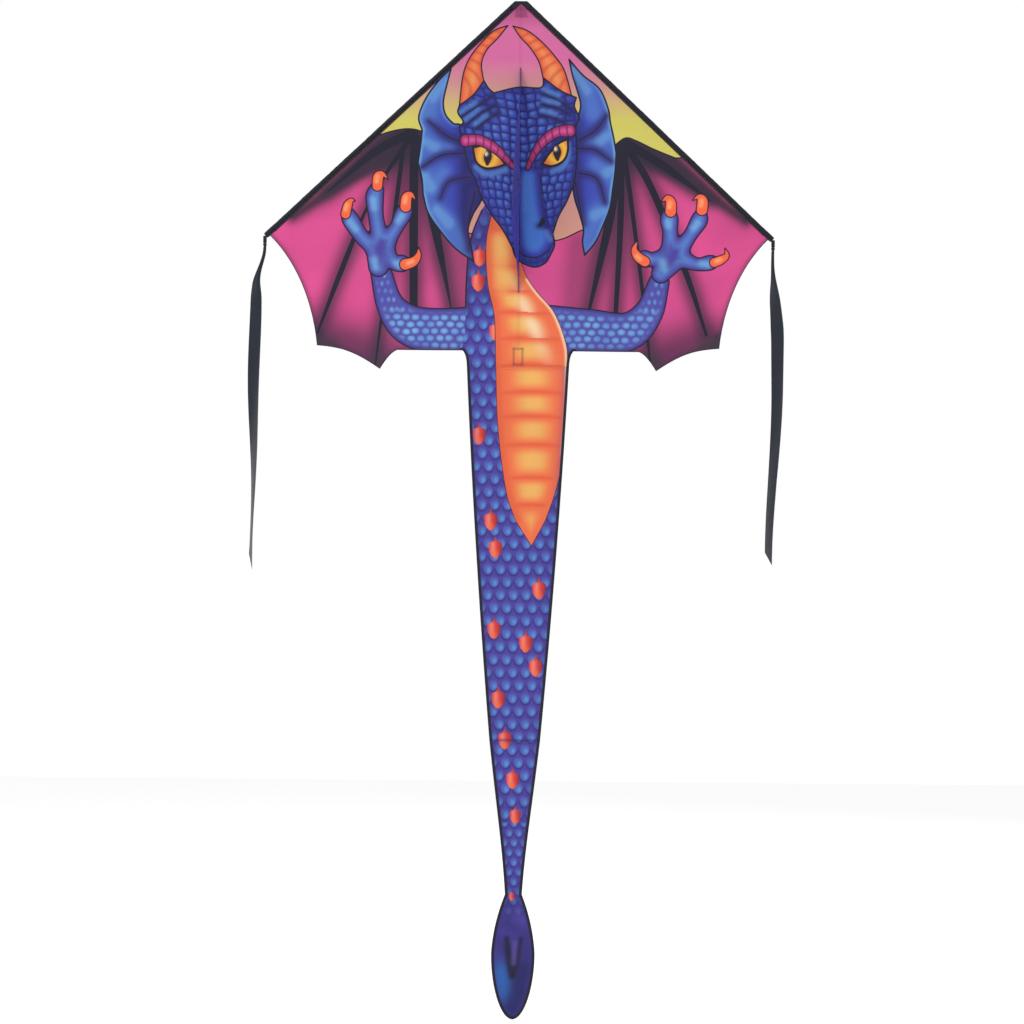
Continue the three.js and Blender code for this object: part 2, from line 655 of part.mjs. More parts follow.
function addTail() {
  const look = material(colours.tail, 0.6);
  const upperTop = -TAIL_TOP_DROP - SEAM_GAP;
  const upperBottom = -TAIL_SEAM_DROP + SEAM_GAP;
  const upper = new THREE.Shape();
  upper.moveTo(-TAIL_TOP_HALF_WIDTH, upperTop);
  upper.lineTo(TAIL_TOP_HALF_WIDTH, upperTop);
  upper.quadraticCurveTo(...UPPER_TAIL_CURVE, TAIL_SEAM_HALF_WIDTH, upperBottom);
  upper.lineTo(-TAIL_SEAM_HALF_WIDTH, upperBottom);
  upper.quadraticCurveTo(...mirrored(UPPER_TAIL_CURVE), -TAIL_TOP_HALF_WIDTH, upperTop);
  upper.closePath();
  add(kite, "tail_upper_panel", sheetXZ(upper, CLOTH), look);

  const lowerTop = -TAIL_SEAM_DROP - SEAM_GAP;
  const shoulder = [LEAF_SHOULDER, -(TAIL_NECK_DROP + LEAF_WIDE_DROP) / 2];
  const lower = new THREE.Shape();
  lower.moveTo(-TAIL_SEAM_HALF_WIDTH, lowerTop);
  lower.lineTo(TAIL_SEAM_HALF_WIDTH, lowerTop);
  lower.bezierCurveTo(...LOWER_TAIL_CURVE, TAIL_NECK_HALF_WIDTH, -TAIL_NECK_DROP);
  lower.quadraticCurveTo(...shoulder, LEAF_HALF_WIDTH, -LEAF_WIDE_DROP);
  lower.bezierCurveTo(...LEAF_CURVE, 0, -TAIL_TIP_DROP);
  lower.bezierCurveTo(...mirrored(LEAF_CURVE), -LEAF_HALF_WIDTH, -LEAF_WIDE_DROP);
  lower.quadraticCurveTo(...mirrored(shoulder), -TAIL_NECK_HALF_WIDTH, -TAIL_NECK_DROP);
  lower.bezierCurveTo(...mirrored(LOWER_TAIL_CURVE), -TAIL_SEAM_HALF_WIDTH, lowerTop);
  lower.closePath();
  add(kite, "tail_lower_panel", sheetXZ(lower, CLOTH), look);
}

add(kite, "sail_centre", sailCentre(), material(colours.sailCentre, 0.6));
add(kite, "nose_binding", noseBinding(), material(colours.black, 0.7));
addSpine();
addKeel();
for (const side of [-1, 1]) addWing(side);
for (const side of [-1, 1]) addStreamer(side);
addSpreader();
addTail();

export default kite;
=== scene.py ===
import math

import bpy
import numpy as np
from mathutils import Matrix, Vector
from mathutils.geometry import delaunay_2d_cdt


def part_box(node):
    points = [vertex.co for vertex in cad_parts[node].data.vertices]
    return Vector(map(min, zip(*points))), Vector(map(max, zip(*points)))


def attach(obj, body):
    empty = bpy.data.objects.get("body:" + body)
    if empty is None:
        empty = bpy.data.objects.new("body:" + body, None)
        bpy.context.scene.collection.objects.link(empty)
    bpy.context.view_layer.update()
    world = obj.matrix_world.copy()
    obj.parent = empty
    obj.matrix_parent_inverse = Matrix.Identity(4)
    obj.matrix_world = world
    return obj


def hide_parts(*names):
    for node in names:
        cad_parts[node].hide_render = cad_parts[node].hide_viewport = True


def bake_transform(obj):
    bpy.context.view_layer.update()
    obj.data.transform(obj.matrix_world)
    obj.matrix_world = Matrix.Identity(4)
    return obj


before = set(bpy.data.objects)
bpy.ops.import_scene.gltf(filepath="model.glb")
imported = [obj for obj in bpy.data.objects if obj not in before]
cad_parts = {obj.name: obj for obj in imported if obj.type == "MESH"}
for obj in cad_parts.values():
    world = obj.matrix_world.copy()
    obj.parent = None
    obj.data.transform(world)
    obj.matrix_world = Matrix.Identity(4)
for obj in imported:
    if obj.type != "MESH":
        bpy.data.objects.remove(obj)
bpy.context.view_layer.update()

# A keeled delta kite with a printed dragon. Pieces are built in metres in the frame's axes: x across,
# z up from the nose, y towards the back. The print is drawn flat in millimetres, as x and the drop
# below the nose, and every cloth is cut, coloured and bent from there.
MM = 0.001

# The kite's sizes, as on the CAD model, in millimetres. A point is (x, drop) on the right half, and a
# CURVE holds the control points of the Bezier curve between its neighbours.
NOSE_HALF_WIDTH = 14
TIP_X = 574
TIP_DROP = 528
CORNER = (453, 778)
POINT = (311, 830)
TIP_CURVE = ((505, 585), (463, 675))
SCALLOP_CURVE = ((400, 782), (372, 788))
POINT_CURVE = (289, 793)
HEM_DROP = 787
HEM_OUTER_X = 272
FOLD_HEM_X = 125
TAIL_TOP_DROP = 822
TAIL_TOP_HALF_WIDTH = 115
TAIL_SEAM_DROP = 1663
TAIL_SEAM_HALF_WIDTH = 57
TAIL_CURVE = (96, 1220)
WAIST = (19, 2010)
WAIST_CURVE = ((42, 1800), (26, 1900))
LEAF_SIDE = (49, 2142)
LEAF_TOP_CURVE = (45, 2076)
LEAF_END_CURVE = ((50, 2210), (30, 2288))
TAIL_TIP_DROP = 2292
CLOTH_INSET = 11  # the sail's edge lies this far inside the leading edge, between the sleeve's hems
SLEEVE_RADIUS = 5
SLEEVE_WIDTH = 14
KEEL_TOP_DROP = 149
KEEL_BOTTOM_DROP = 657
KEEL_POINT_DROP = 420
KEEL_DEPTH = 165
SPREADER_DROP = 330

CLOTH = 0.5  # visible thickness of the sail cloth
HEM_RISE = 0.45  # extra thickness of a folded hem
FINE = 1.9  # spacing of the mesh where the print has detail
COARSE_STEP = 3  # the spacing elsewhere is this many times FINE
FAR = 1000.0  # beyond every distance that matters in the print
SIDES = {-1: "left", 1: "right"}


# ---------------------------------------------------------------- colours

def colour(red, green, blue):
    """A colour given from 0 to 255 as it looks on a screen, as linear light."""
    c = np.array([red, green, blue], float) / 255
    return np.where(c <= 0.04045, c / 12.92, ((c + 0.055) / 1.055) ** 2.4)


NAVY_INK = colour(22, 20, 42)
SKY_NOSE = colour(168, 60, 120)
SKY_PINK = colour(212, 104, 158)
SKY_SALMON = colour(205, 142, 140)
SKY_YELLOW = colour(212, 202, 98)
SKY_LOW = colour(222, 160, 130)
MEMBRANE = colour(226, 78, 146)
MEMBRANE_DEEP = colour(120, 46, 96)
MEMBRANE_DARK = colour(58, 34, 62)
WING_ARM = colour(44, 34, 52)
BLUE_DEEP = colour(34, 32, 120)
BLUE = colour(54, 68, 178)
BLUE_LIGHT = colour(84, 128, 204)
BLUE_RIM = colour(118, 178, 228)
SNOUT_BLUE = colour(68, 120, 212)
VIOLET = colour(74, 64, 158)
VIOLET_DEEP = colour(52, 42, 122)
VIOLET_DARK = colour(44, 34, 108)
SCALE_CYAN = colour(86, 142, 214)
ARM_VIOLET = colour(80, 76, 166)
ORANGE = colour(240, 112, 70)
ORANGE_DEEP = colour(222, 84, 52)
AMBER = colour(240, 178, 96)
CREAM = colour(252, 226, 190)
CLAW = colour(250, 104, 66)
CLAW_LIGHT = colour(255, 170, 110)
MAGENTA = colour(176, 44, 120)
MAGENTA_LIGHT = colour(214, 84, 150)
RED_SCALE = colour(222, 62, 62)
RED_LIGHT = colour(244, 130, 112)
EYE_YELLOW = colour(250, 196, 70)
EYE_ORANGE = colour(226, 120, 50)
LEAF_LIGHT = colour(36, 110, 190)
LEAF_DARK = colour(24, 26, 90)
LEAF_RIDGE = colour(90, 76, 150)
# Painted shade for the outer corners and the points of the sail.
CORNER_PAINTED_SHADE = colour(62, 46, 62)
# Painted shade where the spine's pockets show through the cloth.
POCKET_SHADE_THROUGH = colour(120, 52, 70)
BACK_HAZE = colour(150, 140, 160)


# ---------------------------------------------------------------- lines and shapes of the print

def curve(points, steps=8):
    """A smooth line through a few points. Further columns, such as a radius, are carried along."""
    p = np.array(points, float)
    p = np.vstack([2 * p[0] - p[1], p, 2 * p[-1] - p[-2]])
    t = np.linspace(0, 1, steps, endpoint=False)[:, None]
    runs = []
    for a, b, c, e in zip(p, p[1:], p[2:], p[3:]):
        bend = 2 * a - 5 * b + 4 * c - e
        runs.append(0.5 * (2 * b + (c - a) * t + bend * t**2 + (3 * b - a - 3 * c + e) * t**3))
    return np.vstack([*runs, p[-2:-1]])


def to_segment(x, d, a, b):
    """Distance to a segment, and how far along it the nearest point is."""
    run = b[:2] - a[:2]
    t = ((x - a[0]) * run[0] + (d - a[1]) * run[1]) / max(run @ run, 1e-9)
    t = np.clip(t, 0, 1)
    return np.hypot(x - a[0] - t * run[0], d - a[1] - t * run[1]), t


class Outline:
    """A closed shape. Each run is a smooth line, and runs meet at corners."""

    def __init__(self, *runs, steps=8):
        self.line = np.vstack([curve(run, steps)[:-1] for run in runs])
        self.margin = 0

    def distance(self, x, d):
        inside = np.zeros(x.shape, bool)
        nearest = np.full(x.shape, FAR)
        for a, b in zip(self.line, np.roll(self.line, -1, axis=0)):
            away, _ = to_segment(x, d, a, b)
            nearest = np.minimum(nearest, away)
            if a[1] != b[1]:
                crossed = (a[1] > d) != (b[1] > d)
                inside ^= crossed & (x < a[0] + (b[0] - a[0]) * (d - a[1]) / (b[1] - a[1]))
        return np.where(inside, -nearest, nearest)


class Limb:
    """A tapering tube drawn along a smooth line of points (x, drop, radius)."""

    def __init__(self, points, steps=6):
        self.line = curve(points, steps)
        self.margin = self.line[:, 2].max()

    def distance(self, x, d):
        nearest = np.full(x.shape, FAR)
        for a, b in zip(self.line, self.line[1:]):
            away, t = to_segment(x, d, a, b)
            nearest = np.minimum(nearest, away - a[2] - (b[2] - a[2]) * t)
        return nearest


class Joined:
    """Several shapes grown into one, with a soft fillet where they meet."""

    def __init__(self, *shapes, fillet=8):
        self.shapes = shapes
        self.fillet = fillet
        self.line = np.vstack([s.line[:, :2] for s in shapes])
        self.margin = max(s.margin for s in shapes)

    def distance(self, x, d):
        total = self.shapes[0].distance(x, d)
        for shape in self.shapes[1:]:
            other = shape.distance(x, d)
            share = np.clip(0.5 + (total - other) / (2 * self.fillet), 0, 1)
            total = total * (1 - share) + other * share - self.fillet * share * (1 - share)
        return total


def smoothstep(low, high, value):
    t = np.clip((value - low) / (high - low), 0, 1)
    return t * t * (3 - 2 * t)


def mix(a, b, share):
    return a + (b - a) * np.asarray(share)[..., None]


def ramp(value, *stops):
    """Colours along a value: stops are (value, colour) in order."""
    values = [v for v, _ in stops]
    return np.stack([np.interp(value, values, [c[k] for _, c in stops]) for k in range(3)], -1)


def hashed(i, j, seed):
    """A fixed number from 0 to 1 for each whole pair i, j."""
    h = np.sin(i * 127.1 + j * 311.7 + seed * 74.7) * 43758.5453
    return h - np.floor(h)


def waves(x, d, size, seed):
    """Smooth irregular values from about -1 to 1, with features of the given size."""
    total = np.zeros(np.shape(x))
    for k in range(5):
        angle = 2 * math.pi * hashed(k, 1, seed)
        rate = 2 * math.pi / size * (0.6 + 0.9 * hashed(k, 2, seed))
        phase = 2 * math.pi * hashed(k, 3, seed)
        total += np.sin((x * math.cos(angle) + d * math.sin(angle)) * rate + phase)
    return total / 3


def cells(x, d, wide, tall, seed, stagger=0.5, loose=0.34):
    """An irregular mosaic: the distance to each cell's edge, and where in the cell a point lies."""
    row = np.floor(d / tall)
    first = np.full(x.shape, FAR)
    second = np.full(x.shape, FAR)
    dx = np.zeros(x.shape)
    dd = np.zeros(x.shape)
    for rows in (-1, 0, 1):
        r = row + rows
        shift = stagger * np.mod(r, 2)
        column = np.floor(x / wide - shift)
        for columns in (-1, 0, 1):
            c = column + columns
            u = (x - (c + shift + 0.5 + loose * (hashed(c, r, seed) - 0.5)) * wide) / wide
            v = (d - (r + 0.5 + loose * (hashed(r, c, seed + 5) - 0.5)) * tall) / tall
            away = np.hypot(u, v)
            closer = away < first
            second = np.where(closer, first, np.minimum(second, away))
            dx = np.where(closer, u, dx)
            dd = np.where(closer, v, dd)
            first = np.where(closer, away, first)
    return second - first, dx, dd


# ---------------------------------------------------------------- the print

class Print:
    """Ink and colour at a set of points. Ink is the distance to the nearest inked line's edge."""

    def __init__(self, x, drop):
        self.x = x
        self.drop = drop
        self.colour = np.zeros((len(x), 3))
        self.ink = np.full(len(x), FAR)
        self.fine = np.zeros(len(x), bool)
        self.part = np.zeros(len(x), int)

    def near(self, shape, reach, only=None):
        """The points in a box round a shape, and on some parts of the picture if only those are meant."""
        low = shape.line[:, :2].min(0) - shape.margin - reach
        high = shape.line[:, :2].max(0) + shape.margin + reach
        found = (self.x > low[0]) & (self.x < high[0]) & (self.drop > low[1]) & (self.drop < high[1])
        if only is not None:
            found &= np.isin(self.part, only)
        return np.flatnonzero(found)

    def fill(self, shape, paint, part, line=1.5, detailed=False, only=None):
        """Paints the inside of a shape and inks its edge, which is fine mesh. So is a detailed inside."""
        reach = line + 2.5 * FINE
        i = self.near(shape, reach, only)
        dist = shape.distance(self.x[i], self.drop[i])
        inside = dist < 0
        j = i[inside]
        self.colour[j] = paint(self.x[j], self.drop[j], -dist[inside])
        self.part[j] = part
        self.ink[j] = np.minimum(FAR, -dist[inside])
        if line > 0:
            self.ink[i] = np.minimum(self.ink[i], np.abs(dist) - line)
        self.fine[i] |= np.abs(dist) < reach
        if detailed:
            self.fine[j] = True

    def stroke(self, *points, only=None):
        """An inked brush stroke along points (x, drop, half width)."""
        shape = Limb(points)
        reach = 3 * FINE
        i = self.near(shape, reach, only)
        dist = shape.distance(self.x[i], self.drop[i])
        self.ink[i] = np.minimum(self.ink[i], dist)
        self.fine[i] |= np.abs(dist) < reach

    def keep(self, kept):
        for name in ("x", "drop", "colour", "ink", "fine", "part"):
            setattr(self, name, getattr(self, name)[kept])

    def glow(self, tint, reach, strength, *points, only=None):
        """Soft colour sprayed along points (x, drop, radius), fading over reach."""
        shape = Limb(points)
        i = self.near(shape, 2.2 * reach, only)
        dist = np.maximum(shape.distance(self.x[i], self.drop[i]), 0)
        self.colour[i] = mix(self.colour[i], tint, strength * np.exp(-((dist / reach) ** 2)))

    def shade(self, parts, *sprays):
        """Glows on the same parts of the picture, each as (tint, reach, strength, *points)."""
        for tint, reach, strength, *points in sprays:
            self.glow(tint, reach, strength, *points, only=parts)


SKY, WING, BODY, BELLY, ARM, CLAWS, EAR, HORN, HEAD, BROW, EYE, SNOUT = range(12)


# A paint gives colours for points x, d that lie at a depth inner inside their shape.

def rounded(edge, middle, light, near, far):
    """Paint that goes from a dark edge to its middle tone at one depth and its light tone at another."""
    return lambda x, d, inner: ramp(inner, (0, edge), (near, middle), (far, light))


def solid_ink(x, d, inner):
    return np.broadcast_to(NAVY_INK, (len(x), 3))


def pen_line(points):
    """A fine line that thins out at its last point."""
    *first, last = points
    return [*[(*point[:2], 1.25) for point in first], (*last[:2], 1.0)]


def at_side(side, points):
    """Points of the right half of the picture, mirrored for the left half."""
    return [(side * x, *rest) for x, *rest in points]


def paint_membrane(x, d, inner):
    across = np.abs(x + 4)
    tone = smoothstep(270, 430, d + 0.25 * (across - 250)) * (1 - 0.55 * smoothstep(650, 830, d))
    base = ramp(tone, (0, MEMBRANE_DARK), (0.35, MEMBRANE_DEEP), (1, MEMBRANE))
    return mix(base, MEMBRANE_DEEP, 0.10 * (1 + waves(x, d, 160, 3)))


def paint_sky(x, d, inner):
    drop = d + 0.04 * np.abs(x) + 5 * waves(x, d, 220, 4)
    return ramp(
        drop,
        (6, SKY_NOSE),
        (60, SKY_PINK),
        (130, SKY_PINK),
        (200, SKY_SALMON),
        (245, mix(SKY_SALMON, SKY_YELLOW, 0.6)),
        (275, SKY_YELLOW),
        (380, SKY_YELLOW),
        (420, SKY_SALMON),
        (600, SKY_LOW),
    )


FINGERS = {
    -1: [
        [(-238, 300, 9), (-238, 430, 10), (-236, 705, 9)],
        [(-232, 310, 8), (-196, 480, 11), (-166, 620, 5), (-152, 690, 1.5)],
        [(-240, 300, 7), (-330, 440, 3), (-396, 600, 6), (-452, 750, 2.5)],
        [(-262, 330, 5), (-290, 560, 5), (-303, 670, 4), (-321, 818, 2.2)],
        [(-250, 300, 10), (-330, 345, 9), (-430, 432, 1.5)],
    ],
    1: [
        [(228, 322, 9), (205, 480, 10), (180, 600, 7), (158, 700, 3)],
        [(230, 322, 6), (228, 500, 7), (219, 705, 5)],
        [(232, 320, 6), (256, 480, 5), (284, 690, 4), (298, 818, 2.5)],
        [(236, 320, 8), (296, 416, 8), (372, 596, 7), (424, 748, 3)],
        [(240, 318, 10), (330, 372, 9), (430, 446, 1.5)],
    ],
}


WING_SHADES = [
    (WING_ARM, 16, 0.95, (236, 308, 22), (300, 342, 23), (375, 392, 11), (455, 452, 2), (510, 490, 0)),
    (WING_ARM, 9, 0.9, (445, 774, 3), (449, 752, 1)),
    (MEMBRANE_DARK, 45, 0.6, (330, 805, 10), (435, 762, 12)),
    (MEMBRANE_DARK, 30, 0.5, (120, 760, 6), (150, 560, 20)),
]


def draw_wing(p, side):
    """The wing's dark arm, and the fingers that the membrane is stretched over."""
    for finger in FINGERS[side]:
        p.glow(MEMBRANE_DARK, 20, 0.75, *finger, only=[WING])
        p.stroke(*finger, only=[WING])
    for tint, reach, strength, *line in WING_SHADES:
        p.glow(tint, reach, strength, *at_side(side, line), only=[WING])


SMALL_SCALES_DROP = 42 * 44  # the scales are smaller below this, from the start of a row of them


def scale_rows(x, d, wide, tall):
    """Rows of round scales, each fading out at its top and lit low on its right."""
    tone = np.zeros(x.shape)
    shade = np.zeros(x.shape)
    for rows in (0, 0.5):
        v = (d / tall - rows) % 1 - 0.5
        u = (x / wide + rows) % 1 - 0.5
        away = np.hypot(u * (2.6 + 5 * np.clip(-v, 0, 1)), v * 3.9)
        body = smoothstep(1.03, 0.80, away) * smoothstep(-0.26, -0.04, v)
        lit = np.exp(-((u - 0.08) ** 2) / 0.026 - ((v - 0.09) ** 2) / 0.012)
        tone = np.maximum(tone, body * (0.34 + 0.66 * lit))
        shade = np.maximum(shade, np.exp(-(((away - 1.12) / 0.16) ** 2)) * smoothstep(-0.05, 0.1, v))
    base = mix(VIOLET, VIOLET_DARK, 0.75 * shade * (1 - tone))
    return mix(base, SCALE_CYAN, np.clip(1.15 * tone - 0.1, 0, 1))


def paint_body(x, d, inner):
    """Scales down the neck and the tail, which give way to plain violet in the leaf."""
    scales = mix(scale_rows(x + 6, d, 29, 58), scale_rows(x, d, 22, 44), d > SMALL_SCALES_DROP)
    calm = mix(VIOLET_DARK, VIOLET, 0.45 + 0.3 * waves(x, d, 60, 8))
    return mix(calm, scales, smoothstep(2090, 1960, d))


def paint_arm(x, d, inner):
    """Broad pale plates along the forearm, and small ones towards the hand."""
    plates = []
    for wide, tall, spread in ((22, 16, 0.15), (14, 19, 0.075)):
        edge, dx, dd = cells(x, d, wide, tall, 2, loose=0.22)
        plates.append(np.exp(-((dx**2 + dd**2) / spread) ** 1.6) * smoothstep(0.05, 0.3, edge))
    broad, small = plates
    lit = broad + (small - broad) * smoothstep(712, 682, d)
    bright = mix(BLUE_LIGHT, BLUE_RIM, np.clip(0.55 + 0.45 * waves(x, d, 90, 5), 0, 1))
    base = mix(ARM_VIOLET, bright, np.clip(lit, 0, 1) * smoothstep(4, 22, inner))
    return mix(VIOLET_DEEP, base, smoothstep(0, 10, inner) * 0.75 + 0.25)


def paint_hand(x, d, inner):
    return ramp(inner / 16, (0, VIOLET_DEEP), (0.35, ARM_VIOLET), (1, BLUE_LIGHT), (1.6, VIOLET))


ARMS = {
    -1: [(-70, 742, 56), (-170, 745, 52), (-244, 731, 45), (-288, 686, 31), (-311, 610, 23)],
    1: [(70, 738, 54), (160, 742, 50), (244, 742, 43), (293, 698, 32), (316, 630, 23)],
}


HANDS = {
    -1: {
        "centre": -312,
        "palm": [(-316, 600, 22), (-312, 560, 31), (-308, 545, 28)],
        "fingers": [
            [(-318, 560, 20), (-352, 535, 15), (-378, 497, 17), (-385, 483, 14)],
            [(-312, 545, 18), (-322, 490, 15), (-326, 445, 18), (-322, 428, 15)],
            [(-300, 545, 18), (-276, 510, 14), (-262, 482, 17), (-256, 470, 14)],
            [(-300, 572, 19), (-280, 590, 15), (-266, 592, 17), (-258, 592, 14)],
        ],
        "claws": [
            [(-391, 482, 11), (-386, 462, 10), (-378, 451, 5), (-370, 452, 0.8)],
            [(-320, 418, 12), (-318, 398, 12), (-308, 392, 6), (-296, 403, 0.8)],
            [(-256, 464, 13), (-254, 444, 12), (-244, 437, 6), (-233, 450, 0.8)],
            [(-256, 594, 13), (-238, 588, 11), (-227, 574, 7), (-226, 556, 0.8)],
        ],
    },
    1: {
        "centre": 338,
        "palm": [(320, 610, 21), (345, 575, 30), (352, 562, 29)],
        "fingers": [
            [(335, 572, 19), (300, 578, 14), (284, 577, 17), (278, 576, 14)],
            [(342, 556, 19), (340, 515, 15), (338, 490, 18), (338, 478, 15)],
            [(362, 556, 18), (386, 522, 14), (404, 492, 17), (408, 480, 14)],
            [(362, 574, 19), (400, 588, 13), (428, 585, 15), (436, 582, 12)],
        ],
        "claws": [
            [(284, 583, 12), (268, 572, 11), (260, 556, 7), (267, 536, 0.8)],
            [(341, 470, 13), (341, 450, 12), (333, 440, 7), (320, 448, 0.8)],
            [(411, 466, 13), (412, 446, 12), (404, 437, 6), (390, 444, 0.8)],
            [(440, 584, 11), (455, 578, 10), (468, 568, 6), (464, 552, 0.8)],
        ],
    },
}


def draw_hand(p, side):
    hand = HANDS[side]
    limbs = [Limb(hand["palm"])]
    limbs += [Limb([(x, d, 1.1 * r) for x, d, r in finger]) for finger in hand["fingers"]]
    p.fill(Joined(*limbs, fillet=9), paint_hand, ARM)
    palm_x = hand["centre"]
    p.glow(VIOLET, 20, 0.75, (palm_x, 560, 4), (palm_x - side * 4, 590, 3), only=[ARM])
    p.glow(BLUE_RIM, 8, 0.6, (palm_x - 14, 585, 2), (palm_x - 10, 600, 1), only=[ARM])
    for _, (x1, d1, _), (x2, d2, _), _ in hand["fingers"]:
        p.glow(BLUE_RIM, 7, 0.65, (x2 - 3, d2 + 4, 2), ((x1 + x2) / 2 - 3, (d1 + d2) / 2, 1), only=[ARM])
    for claw in hand["claws"]:
        p.fill(Limb(claw), rounded(ORANGE_DEEP, CLAW, CLAW, 2.7, 7.8), CLAWS, line=1.3)
        (x0, d0, _), (x1, d1, _) = claw[:2]
        p.glow(CLAW_LIGHT, 4, 0.8, ((x0 + x1) / 2 - 3, (d0 + d1) / 2, 1), (x1 - 2, d1 - 1, 1), only=[CLAWS])


BELLY_LEFT = [
    (-63, 482), (-74, 545), (-70, 634), (-54, 712), (-50, 822), (-44, 960), (-25, 1100), (-3, 1168),
]
BELLY_END = (34, 1226)
BELLY_RIGHT = [(65, 1168), (88, 1100), (104, 1020), (111, 920), (112, 820)]
BELLY_NECK = [(108, 770), (82, 702), (44, 657), (22, 627), (6, 590), (-10, 520)]
BELLY_BANDS = (520, 600, 655, 704, 762, 822, 883, 938, 1002, 1076, 1138, 1240)


def paint_belly(x, d, inner):
    """Broad plates across the belly: amber in the middle, orange at their edges."""
    centre = np.interp(d, [500, 650, 760, 900, 1224], [-45, -15, 26, 34, 34])
    bow = 5 * (1 - ((x - centre) / 75) ** 2)
    edges = np.array(BELLY_BANDS, float)
    k = np.clip(np.searchsorted(edges, d + bow) - 1, 0, len(edges) - 2)
    height = edges[k + 1] - edges[k]
    place = np.clip((d + bow - edges[k]) / height, 0, 1)
    plate = smoothstep(0.04, 0.38, place) * smoothstep(1.0, 0.58, place)
    side = np.exp(-(np.abs((x - centre) / 38) ** 2.6)) * smoothstep(6, 40, inner)
    base = mix(ORANGE, AMBER, plate * side)
    line = np.exp(-((np.minimum(place, 1 - place) * height / 4.5) ** 2))
    base = mix(base, ORANGE_DEEP, 0.55 * line * smoothstep(2, 20, inner))
    shine = np.exp(-((x - 8 - 0.42 * (d - 670)) / 17) ** 2) * np.exp(-((d - 720) / 70) ** 2)
    return mix(base, CREAM, 0.75 * smoothstep(0, 0.5, place) * shine)


def draw_body(p):
    neck = Outline(
        [(-58, 420), (-84, 470), (-104, 520), (-114, 570), (-118, 640), (-119, 700), (-124, 770),
         (-150, 840)],
        [(-150, 840), (-150, 2320)],
        [(-150, 2320), (150, 2320)],
        [(150, 2320), (150, 840)],
        [(150, 840), (122, 800), (108, 760), (80, 705), (40, 655), (0, 590), (-10, 420)],
        [(-10, 420), (-58, 420)],
    )
    p.fill(neck, paint_body, BODY, line=0, detailed=True)
    p.stroke((-84, 470, 1.5), (-104, 520, 1.8), (-114, 570, 1.8), (-118, 640, 1.8), (-119, 690, 1.5))
    p.shade(
        [BODY],
        (VIOLET_DEEP, 14, 0.8, (-104, 520, 1), (-116, 600, 1), (-118, 690, 1)),
        (VIOLET_DEEP, 16, 0.7, (-70, 500, 1), (-80, 560, 1), (-74, 660, 1)),
    )


def draw_belly(p):
    throat = BELLY_NECK[-1]
    belly = Outline(
        BELLY_LEFT,
        [BELLY_LEFT[-1], BELLY_END],
        [BELLY_END, BELLY_RIGHT[0]],
        BELLY_RIGHT,
        [BELLY_RIGHT[-1], *BELLY_NECK],
        [throat, BELLY_LEFT[0]],
    )
    p.fill(belly, paint_belly, BELLY, line=0.9, detailed=True)
    shaded = [(x + 4, d, 1) for x, d in BELLY_LEFT]
    shining = [(x - 4, d, 0.5) for x, d in [*BELLY_RIGHT[2:], *BELLY_NECK[:4]]]
    p.shade(
        [BELLY],
        (ORANGE_DEEP, 9, 0.55, *shaded),
        (CREAM, 2.6, 0.7, *shining),
        (AMBER, 16, 0.6, (-45, 540, 3), (-35, 640, 4)),
    )


EARS = {
    -1: {
        "shape": [
            [(-156, 152), (-185, 182), (-212, 220), (-228, 262), (-220, 292)],
            [(-220, 292), (-224, 330), (-229, 366)],
            [(-229, 366), (-220, 400), (-217, 436)],
            [(-217, 436), (-205, 478), (-176, 520), (-142, 558), (-102, 586)],
            [(-102, 586), (-108, 552), (-115, 515), (-104, 480), (-84, 440), (-90, 380)],
            [(-90, 380), (-120, 330), (-132, 282), (-150, 276), (-168, 256), (-173, 228), (-166, 192),
             (-156, 152)],
        ],
        "folds": [
            [(-130, 318, 4), (-165, 304, 5), (-206, 272, 1)],
            [(-124, 342, 3), (-177, 348, 3), (-221, 376, 1)],
            [(-112, 396, 3), (-159, 407, 3), (-178, 444, 1)],
            [(-100, 430, 5), (-112, 490, 5), (-112, 560, 2)],
        ],
        "light": [
            [(-166, 180, 1), (-196, 220, 4), (-210, 262, 4)],
            [(-212, 318, 3), (-190, 330, 5), (-160, 328, 1)],
            [(-212, 396, 3), (-200, 420, 6), (-170, 385, 1)],
            [(-186, 470, 3), (-160, 500, 7), (-122, 568, 1)],
        ],
    },
    1: {
        "shape": [
            [(109, 130), (140, 165), (178, 196), (198, 240), (203, 270)],
            [(203, 270), (212, 310), (217, 340)],
            [(217, 340), (215, 380), (210, 420)],
            [(210, 420), (204, 462), (190, 500), (172, 540), (148, 570)],
            [(148, 570), (143, 540), (145, 512), (136, 478), (122, 430), (120, 360)],
            [(120, 360), (122, 300), (130, 262), (136, 232), (128, 200), (117, 165), (109, 130)],
        ],
        "folds": [
            [(133, 312, 4), (169, 290, 5), (194, 256, 1)],
            [(129, 330, 3), (169, 333, 3), (206, 358, 1)],
            [(131, 384, 3), (174, 398, 3), (193, 450, 1)],
            [(124, 400, 4), (132, 440, 3), (144, 500, 1)],
        ],
        "light": [
            [(118, 152, 1), (150, 200, 4), (164, 250, 6)],
            [(196, 300, 3), (180, 312, 5), (160, 312, 1)],
            [(206, 376, 3), (196, 384, 5), (170, 366, 1)],
            [(188, 470, 3), (170, 480, 6), (152, 548, 2)],
        ],
    },
}


def paint_ear(x, d, inner):
    outward = np.clip((np.abs(x) - 125) / 95, 0, 1)
    base = ramp(outward, (0, BLUE_DEEP * 0.8), (0.3, BLUE), (1, mix(BLUE, BLUE_LIGHT, 0.5)))
    return mix(base, BLUE_RIM, 0.8 * smoothstep(10, 2, inner) * outward)


